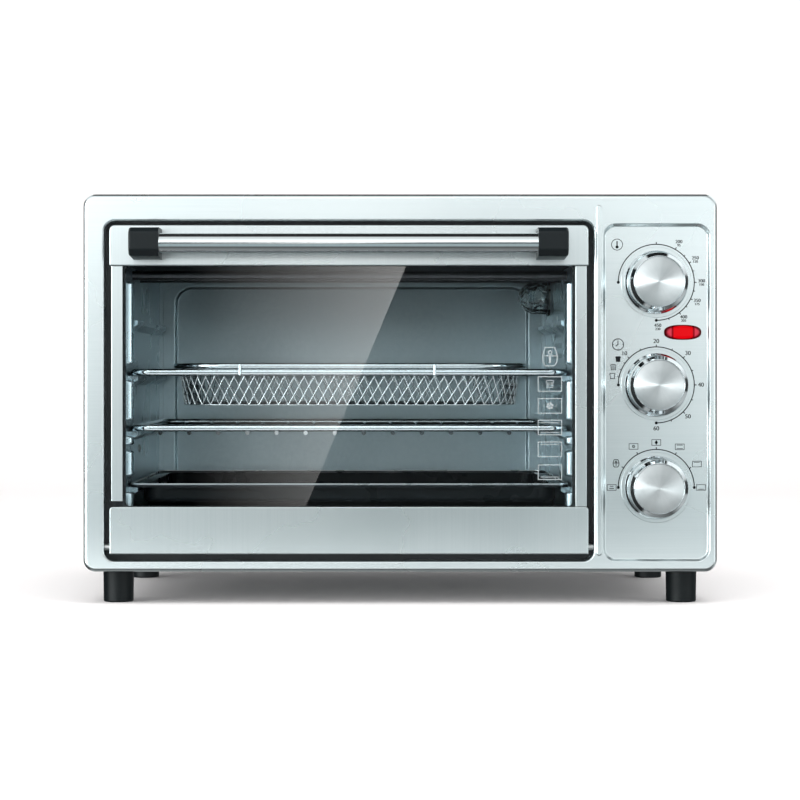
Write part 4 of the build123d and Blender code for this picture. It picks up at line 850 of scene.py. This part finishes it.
# %% Pointer marks
mark_black = moulded(
    "mark_black", (0.006, 0.007, 0.008), (0.015, 0.017, 0.019), (0.4, 0.5), 900.0, 0.004 * MM
)
MARK_HALF, MARK_LIFT = 0.35 * MM, 0.06 * MM
for name, (low, high) in knob_boxes.items():
    centre_x, centre_z = knob_centres[name]
    outer_reach, inner_reach = (high.x - low.x) / 2 - 2.5 * MM, 19.3 * MM
    outer_y, inner_y = low.y + 2.3 * MM, low.y + 0.55 * MM
    vertices = []
    for lift in (MARK_LIFT, -MARK_LIFT):
        for reach, y in ((outer_reach, outer_y), (inner_reach, inner_y)):
            for side in (-MARK_HALF, MARK_HALF):
                vertices.append((centre_x - reach - lift * 0.7, y - lift * 0.7, centre_z + side))
    mark = mesh_object(
        f"{name}_knob_mark", vertices,
        [(0, 1, 3, 2), (4, 6, 7, 5), (0, 4, 5, 1), (2, 3, 7, 6), (0, 2, 6, 4), (1, 5, 7, 3)],
    )
    mark.data.materials.append(mark_black)
    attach(mark, f"{name}_control")
print("pointer marks", round(outer_reach - inner_reach, 4), "long")

# %% [markdown]
# ## Rivets inside the oven
# A button-headed rivet holds each side wall to the strap behind it, low down near the mouth. It is a
# dome turned round an axis that points into the oven.

# %% Side rivets
RIVET_RADIUS, RIVET_RISE, RIVET_Z = 3.4 * MM, 1.7 * MM, 112.0 * MM
RIVET_DEPTH = 119.0 * MM  # behind the oven's face
RIVET_RINGS, RIVET_SIDES = 5, 20
rivet_y = FACE_Y + RIVET_DEPTH
for label, wall, inward in (("left", "cavity_left_wall", 1), ("right", "cavity_right_wall", -1)):
    wall_low, wall_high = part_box(wall)
    wall_x = wall_low.x + MM if inward > 0 else wall_high.x - MM
    rings = []
    for level in range(RIVET_RINGS + 1):
        lean = math.radians(90 * level / RIVET_RINGS)
        reach = RIVET_RADIUS * math.cos(lean) if level < RIVET_RINGS else 0
        x = wall_x + inward * RIVET_RISE * math.sin(lean)
        rings.append([(x, y, z) for y, z in circle_points((rivet_y, RIVET_Z), reach, RIVET_SIDES)])
    rivet = lofted(f"{label}_wall_rivet", rings, caps=(0,))
    on_dome = [len(face.vertices) < RIVET_SIDES for face in rivet.data.polygons]
    rivet.data.polygons.foreach_set("use_smooth", on_dome)
    rivet.data.materials.append(zinc_steel)
    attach(rivet, "case")
print("rivet", len(rivet.data.polygons), "faces at depth", RIVET_DEPTH)

# %% [markdown]
# ## Printing
# Scales and symbols are screen-printed: a skin of ink a few hundredths of a millimetre thick. Each mark
# is cut as a thin closed shape in the plane of its panel. A band follows a path for every line, arc and
# frame, a filled outline makes dots and petals, and the numbers are Blender's own plain type, turned to
# a mesh. Numbers and plain symbols are all that is drawn.

# %% Points and outlines
def polar(centre, radius, degrees):
    """A point on a circle; 0 is to the right and angles go anticlockwise, as seen from the front."""
    turn = math.radians(degrees)
    return Vector((centre[0] + radius * math.cos(turn), centre[1] + radius * math.sin(turn)))


def corners(centre, width, height):
    return scaled(centre, width, height, ((-1, -1), (1, -1), (1, 1), (-1, 1)))


def scaled(centre, width, height, outline):
    """An outline drawn from -1 to 1, at its size and place."""
    return [(centre[0] + a * width / 2, centre[1] + b * height / 2) for a, b in outline]


# %% Drawing tools
INK = 0.04 * MM
BOLD = 0.11 * MM  # numbers are printed twice, this far to each side, so that their strokes are bold


def evaluated_mesh(piece):
    """What a piece looks like with its modifiers or its type worked out, as a plain mesh."""
    bpy.context.view_layer.update()
    return bpy.data.meshes.new_from_object(piece.evaluated_get(bpy.context.evaluated_depsgraph_get()))


class Print:
    """Collects thin shapes that stand on a plane facing the front."""

    def __init__(self, plane_y):
        self.bm = bmesh.new()
        self.front, self.back = plane_y - INK, plane_y + INK / 4

    def _ring(self, points, y):
        return [self.bm.verts.new((p[0], y, p[1])) for p in points]

    def filled(self, points):
        front, back = self._ring(points, self.front), self._ring(points, self.back)
        self.bm.faces.new(front)
        self.bm.faces.new(list(reversed(back)))
        for i in range(len(points)):
            j = (i + 1) % len(points)
            self.bm.faces.new((front[j], front[i], back[i], back[j]))

    def band(self, points, width, closed=False):
        """A line of constant width along a path, with mitred corners."""
        points = [Vector(p) for p in points]
        count = len(points)
        left, right = [], []
        for i, point in enumerate(points):
            steps = []
            if closed or i:
                steps.append((point - points[i - 1]).normalized())
            if closed or i < count - 1:
                steps.append((points[(i + 1) % count] - point).normalized())
            along = sum(steps, Vector((0, 0))).normalized()
            across = Vector((-along.y, along.x))
            reach = width / 2 / max(0.35, across.dot(Vector((-steps[0].y, steps[0].x))))
            left.append(point + across * reach)
            right.append(point - across * reach)
        lf, rf = self._ring(left, self.front), self._ring(right, self.front)
        lb, rb = self._ring(left, self.back), self._ring(right, self.back)
        for i in range(count if closed else count - 1):
            j = (i + 1) % count
            self.bm.faces.new((lf[i], rf[i], rf[j], lf[j]))
            self.bm.faces.new((lb[j], rb[j], rb[i], lb[i]))
            self.bm.faces.new((lf[j], lb[j], lb[i], lf[i]))
            self.bm.faces.new((rf[i], rb[i], rb[j], rf[j]))
        if not closed:
            for i in (0, count - 1):
                self.bm.faces.new((lf[i], lb[i], rb[i], rf[i]))

    def arc(self, centre, radius, start, end, width):
        steps = max(8, int(abs(end - start) / 3))
        turns = [start + (end - start) * i / steps for i in range(steps + 1)]
        self.band([polar(centre, radius, turn) for turn in turns], width)

    def circle(self, centre, radius, width):
        self.band([polar(centre, radius, 10 * i) for i in range(36)], width, closed=True)

    def dot(self, centre, radius):
        self.filled([polar(centre, radius, 20 * i) for i in range(18)])

    def frame_box(self, centre, width, height, line):
        self.band(corners(centre, width, height), line, closed=True)

    def bar(self, centre, width, height):
        self.filled(corners(centre, width, height))

    def number(self, text, centre, size):
        curve = bpy.data.curves.new("number", "FONT")
        curve.body = text
        curve.size = size
        curve.align_x, curve.align_y = "CENTER", "CENTER"
        curve.extrude = INK / 2
        holder = placed("number", curve)
        mesh = evaluated_mesh(holder)
        for shift in (-BOLD, BOLD):
            start = len(self.bm.verts)
            self.bm.from_mesh(mesh)
            self.bm.verts.ensure_lookup_table()
            for vertex in self.bm.verts[start:]:
                x, z, depth = vertex.co
                vertex.co = (centre[0] + x + shift, self.front + INK / 2 - depth, centre[1] + z)
        bpy.data.objects.remove(holder)
        bpy.data.meshes.remove(mesh)

    def finish(self, name, material, body, slot):
        bmesh.ops.remove_doubles(self.bm, verts=self.bm.verts, dist=1e-7)
        made = closed_object(name, self.bm)
        made.data.materials.append(material)
        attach(made, body)
        return made


# %% Symbols
def toast(sheet, centre, size, line, solid=False):
    """A slice of bread: straight sides under a soft double-lobed top."""
    points = scaled(centre, size, size, (
        (-0.8, -1), (0.8, -1), (0.8, 0.25), (1.0, 0.5), (0.95, 0.85), (0.6, 1.0), (-0.6, 1.0), (-0.95, 0.85),
        (-1.0, 0.5), (-0.8, 0.25),
    ))
    if solid:
        sheet.filled(points)
    else:
        sheet.band(points, line, closed=True)


def fan(sheet, centre, radius, blades=6):
    for blade in range(blades):
        middle = polar(centre, radius * 0.62, 360 * blade / blades + 15)
        sheet.filled([polar(middle, radius * 0.30, 45 * i) for i in range(8)])
    sheet.dot(centre, radius * 0.2)


def air_fryer(sheet, centre, width, line):
    """A round-shouldered pot with a drawer and its handle."""
    height = width * 1.24
    pot = (
        (-0.62, 1.0), (0.62, 1.0), (0.9, 0.45), (1.0, 0.0), (0.92, -0.6), (0.6, -1.0), (-0.6, -1.0),
        (-0.92, -0.6), (-1.0, 0.0), (-0.9, 0.45),
    )
    sheet.band(scaled(centre, width, height, pot), line, closed=True)
    sheet.band(scaled(centre, width, height, ((-0.94, 0.08), (0.94, 0.08))), line)
    knob, drawer = scaled(centre, width, height, ((0, 0.45), (0, -0.32)))
    sheet.circle(knob, width * 0.12, line)
    sheet.bar(drawer, width * 0.13, height * 0.375)


# %% [markdown]
# ### The control panel's print
# Each knob has an arc 28 mm from its centre, from its off position at the left. Temperature and time
# run three quarters of a turn clockwise, and the function scale half a turn over the top.

# %% Ink and the function that draws a scale
ink_black = moulded(
    "ink_black", (0.004, 0.005, 0.006), (0.012, 0.014, 0.016), (0.5, 0.65), 900.0, 0.004 * MM,
    Specular_IOR_Level=0.12,
)
panel = Print(PANEL_Y)
ARC_RADIUS, ARC_WIDTH = 28.2 * MM, 0.75 * MM
TICK_LONG, TICK_SHORT = 1.7 * MM, 1.2 * MM
MINUTES, LARGE, SMALL = 4.4 * MM, 3.5 * MM, 2.6 * MM  # sizes of the numbers


def scale(centre, end, ticks):
    """An arc from nine o'clock to its end angle, a dot at each end, and ticks at {angle: length}."""
    panel.arc(centre, ARC_RADIUS, 180, end, ARC_WIDTH)
    for stop in (180, end):
        panel.dot(polar(centre, ARC_RADIUS, stop), 1.1 * MM)
    for turn, length in ticks.items():
        panel.band([polar(centre, ARC_RADIUS, turn), polar(centre, ARC_RADIUS + length, turn)], 0.7 * MM)


# %% Temperature scale, in both of the usual units
centre = knob_centres["temperature"]
marks = {
    60: ("200", "95"), 30.5: ("250", "120"), 0: ("300", "150"), -25.6: ("350", "175"), -52.7: ("400", "205"),
}
ticks = {turn: TICK_LONG for turn in (90, *marks)}
ticks.update({turn: TICK_SHORT for turn in (43.5, 17, -13, -39, -70.9)})
scale(centre, -90, ticks)
for turn, (upper, lower) in marks.items():
    spot = polar(centre, ARC_RADIUS + 5.4 * MM, turn)
    panel.number(upper, (spot.x, spot.y + 1.0 * MM), LARGE)
    panel.number(lower, (spot.x, spot.y - 1.7 * MM), SMALL)
spot = polar(centre, ARC_RADIUS + 4.2 * MM, -88)
panel.number("450", (spot.x, spot.y + 0.4 * MM), LARGE)
panel.number("230", (spot.x, spot.y - 2.3 * MM), SMALL)
spot = (centre[0] - 29.1 * MM, centre[1] + 28.0 * MM)
panel.circle(spot, 4.1 * MM, 0.5 * MM)
panel.bar((spot[0], spot[1] + 0.5 * MM), 0.9 * MM, 4.2 * MM)
panel.dot((spot[0], spot[1] - 1.8 * MM), 1.15 * MM)

print("temperature scale:", len(marks) + 1, "marks")

# %% Timer scale
centre = knob_centres["timer"]
marks = {135.5: "10", 90: "20", 45: "30", 0: "40", -45: "50"}
ticks = {turn: TICK_LONG for turn in marks}
ticks.update({turn: TICK_SHORT for turn in (168, 157, 145.6, 114, 66, 21.7, -22.5, -67.3)})
scale(centre, -90, ticks)
for turn, text in marks.items():
    panel.number(text, polar(centre, ARC_RADIUS + (4.2 if turn == 90 else 5.0) * MM, turn), MINUTES)
panel.number("60", polar(centre, ARC_RADIUS + 4.2 * MM, -90), MINUTES)
toast(panel, polar(centre, 34.2 * MM, 146), 4.2 * MM, 0.5 * MM, solid=True)
spot = polar(centre, 34.5 * MM, 157.5)
toast(panel, spot, 3.9 * MM, 0.5 * MM)
panel.bar(spot, 2.2 * MM, 0.45 * MM)
panel.bar((spot.x, spot.y + 0.9 * MM), 2.2 * MM, 0.4 * MM)
panel.bar((spot.x, spot.y - 0.9 * MM), 2.2 * MM, 0.4 * MM)
toast(panel, polar(centre, 33.2 * MM, 168.5), 3.9 * MM, 0.5 * MM)
spot = (centre[0] - 28.4 * MM, centre[1] + 30.0 * MM)
panel.circle(spot, 4.2 * MM, 0.6 * MM)
panel.band([(spot[0], spot[1] + 2.6 * MM), spot, (spot[0] - 1.7 * MM, spot[1] - 1.3 * MM)], 0.7 * MM)
for quarter in range(4):
    panel.band([polar(spot, 3.0 * MM, 90 * quarter), polar(spot, 4.2 * MM, 90 * quarter)], 0.5 * MM)

print("timer scale:", len(marks) + 1, "marks")

# %% Function scale
centre = knob_centres["function"]
stops = (180, 149, 119, 90, 60, 30, 0)
scale(centre, 0, {turn: TICK_LONG for turn in stops[1:-1]})
SYMBOL = (6.6 * MM, 4.2 * MM, 0.4 * MM)
for index, turn in enumerate(stops):
    reach = ARC_RADIUS + (4.9 if turn in (0, 180) else 5.2 if turn == 90 else 6.6) * MM
    spot = polar(centre, reach, turn)
    if index == 1:
        air_fryer(panel, spot, 4.4 * MM, 0.55 * MM)
        continue
    panel.frame_box(spot, *SYMBOL)
    if index == 0:
        panel.bar((spot.x, spot.y + 0.9 * MM), 2.6 * MM, 0.5 * MM)
        panel.bar((spot.x, spot.y - 0.8 * MM), 3.4 * MM, 0.6 * MM)
    if index == 2:
        fan(panel, spot, 1.4 * MM)
    if index == 3:
        panel.dot(spot, 1.1 * MM)
        panel.bar(spot, 0.7 * MM, 3.2 * MM)
    if index in (4, 5):
        panel.bar((spot.x, spot.y + 1.3 * MM), 4.6 * MM, 0.45 * MM)
    if index in (4, 6):
        panel.bar((spot.x, spot.y - 1.3 * MM), 4.6 * MM, 0.45 * MM)
markings = panel.finish("panel_markings", ink_black, "case", "black_plastic")
print("panel print:", len(markings.data.polygons), "faces")

# %% [markdown]
# ### The glass's print
# The same functions are shown in white, down the right of the glass, next to the rack each one uses.
# They are fired onto the pane's face as a pale enamel.

# %% Symbols on the glass
enamel_white = moulded(
    "enamel_white", (0.36, 0.40, 0.41), (0.46, 0.50, 0.51), (0.4, 0.5), 900.0, 0.004 * MM
)
pane = Print(glass_low.y)
COLUMN_X = oven_x + 149.2 * MM
LINE = 0.45 * MM
FRAME = (17.4 * MM, 10.8 * MM)
FRYER_Z, FRAMES_Z = 183.6, (163.3, 147.0, 131.0, 114.8, 97.8)  # mm above the table
air_fryer(pane, (COLUMN_X, FRYER_Z * MM), 11.0 * MM, 0.7 * MM)
for row, z in enumerate(FRAMES_Z):
    spot = (COLUMN_X, z * MM)
    pane.frame_box(spot, *FRAME, LINE * 1.3)
    if row == 0:
        toast(pane, spot, 5.4 * MM, LINE)
        for step in (-1, 0, 1):
            pane.bar((spot[0] + step * 1.3 * MM, spot[1]), LINE, 2.6 * MM)
    if row == 1:
        fan(pane, spot, 3.0 * MM)
        for side in (-1, 1):
            pane.bar((spot[0] + side * 4.6 * MM, spot[1]), LINE, 1.6 * MM)
    if row in (2, 3):
        pane.bar((spot[0], spot[1] + 3.6 * MM), 14.0 * MM, LINE)
    if row in (2, 4):
        pane.bar((spot[0], spot[1] - 3.6 * MM), 14.0 * MM, LINE)
pane_print = pane.finish("glass_markings", enamel_white, "door", "stainless_front")
print("glass print:", len(pane_print.data.polygons), "faces")

# %% [markdown]
# ## The pilot light's lens
# The lens is a moulded red jewel with a marquise outline: longer than it is high, with drawn-out ends.
# Its outline is a formula, and three rings of it, each smaller and further out, give the rim, the slope
# and the flat top.

# %% Pilot light lens
lens_low, lens_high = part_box("pilot_light_lens")
lens_x, lens_z = (lens_low.x + lens_high.x) / 2, (lens_low.z + lens_high.z) / 2
lens_half = (lens_high.x - lens_low.x) / 2
lens_rise = (lens_high.z - lens_low.z) / 2


def marquise(scale_x, scale_z, y, points=64):
    ring = []
    for i in range(points):
        turn = 2 * math.pi * i / points
        across = math.copysign(abs(math.cos(turn)) ** 0.86, math.cos(turn))
        height = math.copysign(abs(math.sin(turn)) ** 0.74, math.sin(turn))
        ring.append((lens_x + lens_half * scale_x * across, y, lens_z + lens_rise * scale_z * height))
    return ring


rings = [
    marquise(0.82, 0.68, lens_high.y),
    marquise(0.82, 0.68, PANEL_Y),
    marquise(1.0, 1.0, PANEL_Y - 0.02 * MM),
    marquise(1.0, 1.0, PANEL_Y - 0.9 * MM),
    marquise(0.93, 0.86, PANEL_Y - 1.6 * MM),
    marquise(0.80, 0.55, lens_low.y),
]
pilot_lens = lofted("pilot_lens", rings, caps=(0, -1))
bevelled(pilot_lens, 0.15 * MM, 2, 20.0)
print("pilot lens", round(2 * lens_half, 4), "by", round(2 * lens_rise, 4))

# %% The jewel's colour, all given as glow: red, with painted highlights at its paler ends behind a band of painted shade, and painted shade round its rim
jewel = moulded(
    "pilot_jewel", (0.03, 0.0, 0.001), (0.06, 0.0, 0.001), (0.10, 0.18), 300.0, 0.02 * MM,
    Specular_IOR_Level=0.08, Emission_Strength=0.8,
)
nodes, links = jewel.node_tree.nodes, jewel.node_tree.links
jewel_centre = nodes.new("ShaderNodeMapping")
jewel_centre.inputs["Location"].default_value = (-lens_x / lens_half, 0, -lens_z / lens_rise)
jewel_centre.inputs["Scale"].default_value = (1 / lens_half, 0, 1 / lens_rise)
links.new(object_place(nodes), jewel_centre.inputs["Vector"])
jewel_reach = nodes.new("ShaderNodeVectorMath")
jewel_reach.operation = "LENGTH"
links.new(jewel_centre.outputs[0], jewel_reach.inputs[0])
jewel_x = axes(nodes, links, jewel_centre.outputs[0])["X"]
RED, PAINTED_HIGHLIGHT_PINK, PAINTED_SHADE_RED = (0.93, 0.0, 0.004), (0.80, 0.06, 0.10), (0.30, 0.0, 0.006)
WHITE, PAINTED_RIM_SHADE = (1, 1, 1), (0.08, 0.08, 0.08)
# painted highlights and painted shade: the glow is paler towards the ends of the lens, darker at a step
# before them, and darker round the rim
along = ramp(
    nodes, links, math_node(nodes, links, "ABSOLUTE", jewel_x, 0.0),
    ((0.0, RED), (0.50, RED), (0.54, PAINTED_SHADE_RED), (0.60, PAINTED_SHADE_RED), (0.64, PAINTED_HIGHLIGHT_PINK), (0.86, PAINTED_HIGHLIGHT_PINK), (0.92, PAINTED_SHADE_RED)),
)
rim = ramp(nodes, links, jewel_reach.outputs["Value"], ((0.0, WHITE), (0.78, WHITE), (0.92, PAINTED_RIM_SHADE)))
links.new(multiplied(nodes, links, along, rim), nodes["Principled BSDF"].inputs["Emission Color"])
pilot_lens.data.materials.append(jewel)
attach(pilot_lens, "case")
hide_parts("pilot_light_lens")
print("pilot lens is lit")

# %% [markdown]
# ## The lamp's glass
# The oven lamp stands under a pressed-glass dome. Its cut facets throw the broken highlights that show
# what it is, so the dome is built from flat facets: rings of points, each ring turned by half a facet
# against the last, and joined by triangles. A smaller dome inside gives the glass its thickness.

# %% Lamp lens
lamp_low, lamp_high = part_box("lamp_lens")
lamp_y, lamp_z = (lamp_low.y + lamp_high.y) / 2, (lamp_low.z + lamp_high.z) / 2
wall_x = lamp_high.x
FACETS = 14
flange_radius = (lamp_high.z - lamp_low.z) / 2
dome_radius = 14.0 * MM
reach = lamp_high.x - lamp_low.x


def lamp_ring(distance, radius, shift):
    """A ring of points round the lamp's axis, this far out from the wall."""
    return [(wall_x - distance, y, z) for y, z in circle_points((lamp_y, lamp_z), radius, FACETS, shift)]


def stacked(bm, rings):
    """Joins rings of equal count with triangles, so that each facet is flat."""
    made = [[bm.verts.new(point) for point in ring] for ring in rings]
    for level, (first, second) in enumerate(zip(made, made[1:])):
        for i in range(FACETS):
            j = (i + 1) % FACETS
            near, far = (first[i], first[j]), (second[i], second[j])
            if level % 2:
                bm.faces.new((near[0], near[1], far[1]))
                bm.faces.new((near[0], far[1], far[0]))
            else:
                bm.faces.new((near[0], near[1], far[0]))
                bm.faces.new((near[1], far[1], far[0]))
    return made


# %% Dome outside, dome inside, and the ring between them
bm = bmesh.new()
outer = stacked(bm, [
    lamp_ring(0.0, flange_radius, 0.0),
    lamp_ring(2.0 * MM, flange_radius, 0.0),
    lamp_ring(2.6 * MM, dome_radius, 0.5),
    lamp_ring(9.0 * MM, dome_radius, 0.0),
    lamp_ring(15.0 * MM, dome_radius * 0.97, 0.5),
    lamp_ring(20.5 * MM, dome_radius * 0.80, 0.0),
    lamp_ring(24.6 * MM, dome_radius * 0.50, 0.5),
    lamp_ring(reach, dome_radius * 0.12, 0.0),
])
bm.faces.new(outer[-1])
inner = stacked(bm, [
    lamp_ring(0.0, 11.0 * MM, 0.0),
    lamp_ring(2.6 * MM, 12.0 * MM, 0.0),
    lamp_ring(14.0 * MM, 12.0 * MM, 0.0),
    lamp_ring(20.0 * MM, 9.6 * MM, 0.0),
    lamp_ring(24.0 * MM, 3.2 * MM, 0.0),
])
bm.faces.new(inner[-1])
for i in range(FACETS):
    j = (i + 1) % FACETS
    bm.faces.new((outer[0][i], outer[0][j], inner[0][j], inner[0][i]))
lamp_dome = closed_object("lamp_dome", bm)
lamp_dome.data.materials.append(lamp_crystal)
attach(lamp_dome, "case")
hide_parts("lamp_lens")
print("lamp facets:", len(lamp_dome.data.polygons))

# %% [markdown]
# ## The basket
# The air-fry basket is expanded steel: one sheet slit and pulled until its slits open into diamonds,
# pressed into a tray, and hung from a rod. Drawing three thousand strands one by one would be slow and
# hard to change. Instead the script lays out only the net, as points and edges on the tray's surface,
# and a Geometry Nodes tree turns every edge into a strand of wire. The strand's thickness and number of
# sides are the tree's inputs.

# %% A tree that makes wire of edges
def wire_tree():
    tree = bpy.data.node_groups.new("edges_to_wire", "GeometryNodeTree")
    tree.interface.new_socket("Geometry", in_out="INPUT", socket_type="NodeSocketGeometry")
    tree.interface.new_socket("Wire radius", in_out="INPUT", socket_type="NodeSocketFloat")
    tree.interface.new_socket("Sides", in_out="INPUT", socket_type="NodeSocketInt")
    tree.interface.new_socket("Finish", in_out="INPUT", socket_type="NodeSocketMaterial")
    tree.interface.new_socket("Geometry", in_out="OUTPUT", socket_type="NodeSocketGeometry")
    nodes, links = tree.nodes, tree.links
    entry, leave = nodes.new("NodeGroupInput"), nodes.new("NodeGroupOutput")
    paths = nodes.new("GeometryNodeMeshToCurve")
    section = nodes.new("GeometryNodeCurvePrimitiveCircle")
    solid = nodes.new("GeometryNodeCurveToMesh")
    solid.inputs["Fill Caps"].default_value = True
    realize = nodes.new("GeometryNodeRealizeInstances")
    finish = nodes.new("GeometryNodeSetMaterial")
    links.new(entry.outputs["Geometry"], paths.inputs["Mesh"])
    links.new(entry.outputs["Sides"], section.inputs["Resolution"])
    links.new(entry.outputs["Wire radius"], section.inputs["Radius"])
    links.new(paths.outputs["Curve"], solid.inputs["Curve"])
    links.new(section.outputs["Curve"], solid.inputs["Profile Curve"])
    links.new(solid.outputs["Mesh"], realize.inputs["Geometry"])
    links.new(realize.outputs["Geometry"], finish.inputs["Geometry"])
    links.new(entry.outputs["Finish"], finish.inputs["Material"])
    links.new(finish.outputs["Geometry"], leave.inputs["Geometry"])
    return tree


def run_tree(carrier, tree, values, name):
    """Evaluates a tree on a carrier and keeps the result as a plain mesh."""
    modifier = carrier.modifiers.new("pattern", "NODES")
    modifier.node_group = tree
    for item in tree.interface.items_tree:
        if item.in_out == "INPUT" and item.name in values:
            modifier[item.identifier] = values[item.name]
    mesh = evaluated_mesh(carrier)
    carrier.modifiers.remove(modifier)
    bpy.data.objects.remove(carrier)
    return placed(name, mesh)


# %% The basket's outline
mesh_low, mesh_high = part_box("basket_mesh")
basket_x, basket_y = (mesh_low.x + mesh_high.x) / 2, (mesh_low.y + mesh_high.y) / 2
WIRE_RADIUS = 0.42 * MM
DIAMOND_WIDTH, DIAMOND_HEIGHT = 7.6 * MM, 14.0 * MM
half_x = (mesh_high.x - mesh_low.x) / 2 - 1.0 * MM
half_y = (mesh_high.y - mesh_low.y) / 2 - 1.0 * MM
CORNER = 40.0 * MM  # the outline's corner radius
TAPER = 3.6 * MM  # how much narrower each side is at the bottom
WALL_ROWS = 4
net_top, net_bottom = mesh_high.z - 0.6 * MM, mesh_low.z + WIRE_RADIUS


def on_outline(distance, inset):
    """A point on the basket's rounded outline, this far round it."""
    a, b, r = half_x - inset, half_y - inset, CORNER - inset
    straight_x, straight_y, bend = 2 * (a - r), 2 * (b - r), math.pi / 2 * r
    for index, length in enumerate((straight_x, bend, straight_y, bend) * 2):
        if distance <= length or index == 7:
            break
        distance -= length
    turn = (index // 2) * math.pi / 2
    if index % 2:
        swing = distance / r - math.pi / 2
        place = Vector((a - r + r * math.cos(swing), -(b - r) + r * math.sin(swing)))
        if index in (3, 7):
            place = Vector((b - r + r * math.cos(swing), -(a - r) + r * math.sin(swing)))
    else:
        side_a, side_b, run = (a, b, straight_x) if index in (0, 4) else (b, a, straight_y)
        place = Vector((-run / 2 + distance, -side_b))
    cosine, sine = round(math.cos(turn)), round(math.sin(turn))
    return Vector((cosine * place.x - sine * place.y, sine * place.x + cosine * place.y))


def outline_length(inset):
    a, b, r = half_x - inset, half_y - inset, CORNER - inset
    return 4 * (a - r) + 4 * (b - r) + 2 * math.pi * r


print("basket outline", round(outline_length(0), 4), "m round")

# %% The net of the basket's wall
columns = round(outline_length(0) / DIAMOND_WIDTH)
net_points, net_edges = [], []
for row in range(WALL_ROWS + 1):
    share = row / WALL_ROWS
    inset = TAPER * share
    length = outline_length(inset)
    z = net_top + (net_bottom - net_top) * share
    for column in range(columns):
        spot = on_outline((column + 0.5 * (row % 2)) * length / columns % length, inset)
        net_points.append((basket_x + spot.x, basket_y + spot.y, z))
for row in range(WALL_ROWS):
    for column in range(columns):
        here = row * columns + column
        sideways = (column + 1) % columns if row % 2 else (column - 1) % columns
        net_edges.append((here, (row + 1) * columns + column))
        net_edges.append((here, (row + 1) * columns + sideways))
# the bottom edge is a continuous strand
for column in range(columns):
    net_edges.append((WALL_ROWS * columns + column, WALL_ROWS * columns + (column + 1) % columns))
print("basket wall:", columns, "diamonds round,", len(net_edges), "strands")


# %% The net of the basket's floor
def inside(x, y, inset):
    a, b, r = half_x - inset, half_y - inset, CORNER - inset
    over_x, over_y = max(0.0, abs(x) - (a - r)), max(0.0, abs(y) - (b - r))
    return math.hypot(over_x, over_y) <= r


floor_index = {}
steps_x = int(half_x / (DIAMOND_WIDTH / 2)) + 1
steps_y = int(half_y / (DIAMOND_HEIGHT / 2)) + 1
for i in range(-steps_x, steps_x + 1):
    for j in range(-steps_y, steps_y + 1):
        if (i + j) % 2 == 0:
            x, y = i * DIAMOND_WIDTH / 2, j * DIAMOND_HEIGHT / 2
            if inside(x, y, TAPER):
                floor_index[i, j] = len(net_points)
                net_points.append((basket_x + x, basket_y + y, net_bottom))
for (i, j), here in list(floor_index.items()):
    for step in ((1, 1), (1, -1), (-1, 1), (-1, -1)):
        other = floor_index.get((i + step[0], j + step[1]))
        if other is not None:
            if other > here:
                net_edges.append((here, other))
            continue
        # a strand that meets the wall ends on it
        low_share, high_share = 0.0, 1.0
        for _ in range(12):
            middle = (low_share + high_share) / 2
            x = (i + step[0] * middle) * DIAMOND_WIDTH / 2
            y = (j + step[1] * middle) * DIAMOND_HEIGHT / 2
            if inside(x, y, TAPER):
                low_share = middle
            else:
                high_share = middle
        if low_share > 0.05:
            x = (i + step[0] * low_share) * DIAMOND_WIDTH / 2
            y = (j + step[1] * low_share) * DIAMOND_HEIGHT / 2
            net_edges.append((here, len(net_points)))
            net_points.append((basket_x + x, basket_y + y, net_bottom))
net_mesh = bpy.data.meshes.new("basket_net")
net_mesh.from_pydata(net_points, net_edges, [])
net = placed("basket_net", net_mesh)
print("basket floor:", len(floor_index), "crossings")

# %% The net becomes wire
basket = run_tree(
    net, wire_tree(), {"Wire radius": WIRE_RADIUS, "Sides": 6, "Finish": basket_wire_finish}, "basket_wires"
)
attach(basket, "basket")
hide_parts("basket_mesh")
print("basket wire:", len(net_edges), "strands,", len(basket.data.polygons), "faces")

# %% [markdown]
# ## Check the sizes and finish
# The frame's box is what the oven measures. The finished pieces have to fill the same box, so both are
# written down before the last call, which checks every name and writes the table of pieces.

# %% Sizes
low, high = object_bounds()
